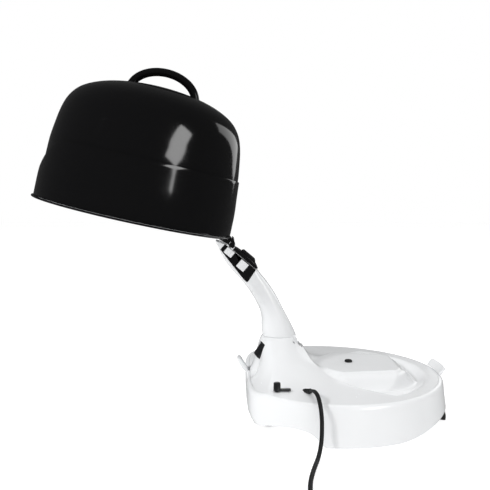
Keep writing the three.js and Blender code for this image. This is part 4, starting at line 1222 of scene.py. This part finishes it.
def cover_slope(x, y):
    """Length of the slanting surface over one millimetre of plan."""
    dx = (cover_height(x + 1, y) - cover_height(x - 1, y)) / 2
    dy = (cover_height(x, y + 1) - cover_height(x, y - 1)) / 2
    return math.hypot(1.0, dx, dy)


def catch_pocket():
    """The room for the catch in the front of the pedestal, for cutting."""
    across = CATCH_OUT.cross(CATCH_SLOPE).normalized()
    down = across.cross(CATCH_OUT)
    tool = block_tool(Vector((-11, -8.5, -11)) * MM, Vector((11, 8.5, 12)) * MM)
    tool.matrix_world = Matrix.Translation(point(*CATCH_PLACE)) @ Matrix(
        (down, across, CATCH_OUT)).transposed().to_4x4()
    return tool


class DRYER_OT_base(bpy.types.Operator):
    """Makes the base: the dished top, the skirt, and what stands on them"""
    bl_idname = "dryer.base"
    bl_label = "Base"

    def execute(self, context):
        self.housing()
        self.skirt()
        piece_from_node("latch_left", "left_latch", "body_white", "body_white", 0.8, 25)
        piece_from_node("latch_right", "right_latch", "body_white", "body_white", 0.8, 25)
        piece_from_node("lock_lever", "lock", "black_satin", "black_satin", angle=30)
        piece_from_node("fold_catch", "catch", "black_satin", "black_satin", 1.0, 30)
        piece_from_node("fold_bumper", "base", "black_rubber", "black_rubber", 0.8, 30)
        for node in ("foot_right", "foot_left_near", "foot_left_far"):
            piece_from_node(node, "base", "black_rubber", "black_rubber", 1.2, 30)
        piece_from_node("bottom_plate", "base", "inner_white", "inner_white", 0.4, 30)
        piece_from_node("intake_grille", "base", "black_satin", "black_satin", 0.4, 30)
        return {"FINISHED"}

    @staticmethod
    def housing():
        """A fine height field closed by an underside, with room for the arm's heel."""
        vertices = []
        faces = []
        edges = []
        for is_top in (True, False):
            first = len(vertices)
            centre_height = cover_height(0, 0) - (0 if is_top else COVER_WALL)
            vertices.append(point(0, 0, centre_height))
            for ring in range(1, COVER_RINGS + 1):
                for k in range(COVER_AROUND):
                    angle = 2 * math.pi * k / COVER_AROUND
                    r = plan_radius(angle, COVER_RADIUS, COVER_WALL_X) * (ring / COVER_RINGS)
                    x, y = r * math.cos(angle), r * math.sin(angle)
                    z = cover_height(x, y)
                    if not is_top:
                        z -= COVER_WALL * min(2.6, cover_slope(x, y))
                        if ring == COVER_RINGS:
                            z = min(z, cover_height(x, y) - COVER_WALL - 1)
                    vertices.append(point(x, y, z))
            for k in range(COVER_AROUND):
                n = (k + 1) % COVER_AROUND
                made = [(first, first + 1 + k, first + 1 + n)]
                for ring in range(COVER_RINGS - 1):
                    a = first + 1 + ring * COVER_AROUND
                    b = a + COVER_AROUND
                    made.append((a + k, b + k, b + n, a + n))
                faces += made if is_top else [face[::-1] for face in made]
            edges.append(first + 1 + (COVER_RINGS - 1) * COVER_AROUND)
        top, low = edges
        for k in range(COVER_AROUND):
            n = (k + 1) % COVER_AROUND
            faces.append((top + k, low + k, low + n, top + n))
        housing = mesh_piece("top_housing_made", vertices, faces)
        x, z = FOLD_AXIS
        for half, radius in HEEL_ROOMS:
            combine(housing, cylinder_tool(point(x, -half, z), point(x, half, z), radius * MM))
        combine(housing, block_tool(point(-88, -15, 90), point(-60, 15, 120)))
        combine(housing, catch_pocket())
        smooth(housing, 50)
        finished(housing, "base", "body_white", "body_white", "top_housing")

    @staticmethod
    def skirt():
        """The flared side wall with its rolled top edge and raised ends."""
        rows = [0.0, 0.02, 0.1, 0.22, 0.36, 0.5, 0.64, 0.76, 0.84]
        rings = []
        for k in range(BASE_SKIRT_STEPS):
            angle = 2 * math.pi * k / BASE_SKIRT_STEPS
            foot = skirt_foot(BASE_RADIUS * math.cos(angle))
            edge = plan_radius(angle, COVER_RADIUS, COVER_WALL_X)
            rise = cover_height(edge * math.cos(angle), edge * math.sin(angle))

            def wall_point(z, inset):
                return plan_point(angle, skirt_radius(z) - inset, end_wall(z) - inset, z)
            line = [wall_point(mix(foot, rise, share), 0.0 if share else 0.4) for share in rows]
            lip_foot = mix(foot, rise, LIP_START)
            for step in range(LIP_STEPS + 1):
                turn = step / LIP_STEPS * math.pi / 2
                inset = LIP_RADIUS * (1 - math.cos(turn))
                line.append(wall_point(mix(lip_foot, rise, math.sin(turn)), inset))
            for grow, drop in LEDGE:
                line.append(plan_point(angle, COVER_RADIUS + grow, COVER_WALL_X + grow,
                                       rise - drop))
            for share in (0.5, 0.22, 0.0):
                line.append(wall_point(mix(foot, rise, share), BASE_SKIRT_WALL))
            rings.append(line)
        skirt = lofted("base_skirt_made", rings, True)
        combine(skirt, block_tool(point(-130, -10.8, BASE_HEIGHT), point(-100, 10.8, 80)))
        smooth(skirt, 35)
        finished(skirt, "base", "body_white", "body_white", "base_skirt")


class DRYER_OT_inside(bpy.types.Operator):
    """Finishes the fan, motor, heater and the other parts inside the base"""
    bl_idname = "dryer.inside"
    bl_label = "Inside"

    PIECES = (
        ("blower_housing", "base", "black_satin", 0.4), ("impeller", "fan", "black_satin", 0.0),
        ("motor_bracket", "base", "steel", 0.3), ("motor", "base", "steel", 0.8),
        ("motor_shaft", "fan", "steel", 0.2), ("air_duct", "base", "mica", 0.3),
        ("heater_frame", "base", "mica", 0.0), ("heater_element", "base", "alloy", 0.0),
        ("thermostat", "base", "alloy", 0.5), ("terminal_block", "base", "inner_white", 0.5),
        ("ballast_plate", "base", "iron", 1.2),
    )

    def execute(self, context):
        for node, body, finish, edge in self.PIECES:
            piece_from_node(node, body, finish, finish, edge)
        return {"FINISHED"}


class DRYER_PT_panel(bpy.types.Panel):
    """Lists the dryer's steps and sizes"""
    bl_idname = "DRYER_PT_panel"
    bl_label = "Hood hair dryer"
    bl_space_type = "VIEW_3D"
    bl_region_type = "UI"
    bl_category = "Dryer"

    def draw(self, context):
        layout = self.layout
        for step in STEPS:
            layout.operator(step.bl_idname)
        for group in (context.scene.dryer_hood, context.scene.dryer_body,
                      context.scene.dryer_lead):
            for key in group.__annotations__:
                layout.prop(group, key)


GROUPS = (
    ("dryer_hood", DryerHoodSizes), ("dryer_body", DryerBodySizes), ("dryer_lead", DryerLeadSizes),
)
STEPS = (
    DRYER_OT_stage, DRYER_OT_lead, DRYER_OT_hood, DRYER_OT_liner, DRYER_OT_arm,
    DRYER_OT_controls, DRYER_OT_base, DRYER_OT_inside,
)


def register():
    for name, group in GROUPS:
        bpy.utils.register_class(group)
        setattr(bpy.types.Scene, name, bpy.props.PointerProperty(type=group))
    for step in STEPS:
        bpy.utils.register_class(step)
    bpy.utils.register_class(DRYER_PT_panel)


def unregister():
    bpy.utils.unregister_class(DRYER_PT_panel)
    for step in reversed(STEPS):
        bpy.utils.unregister_class(step)
    for name, group in reversed(GROUPS):
        delattr(bpy.types.Scene, name)
        bpy.utils.unregister_class(group)


def main():
    register()
    make_materials()
    for step in STEPS:
        family, name = step.bl_idname.split(".")
        result = getattr(getattr(bpy.ops, family), name)()
        if result != {"FINISHED"}:
            raise RuntimeError(step.bl_label + " did not finish")


if __name__ == "__main__":
    main()
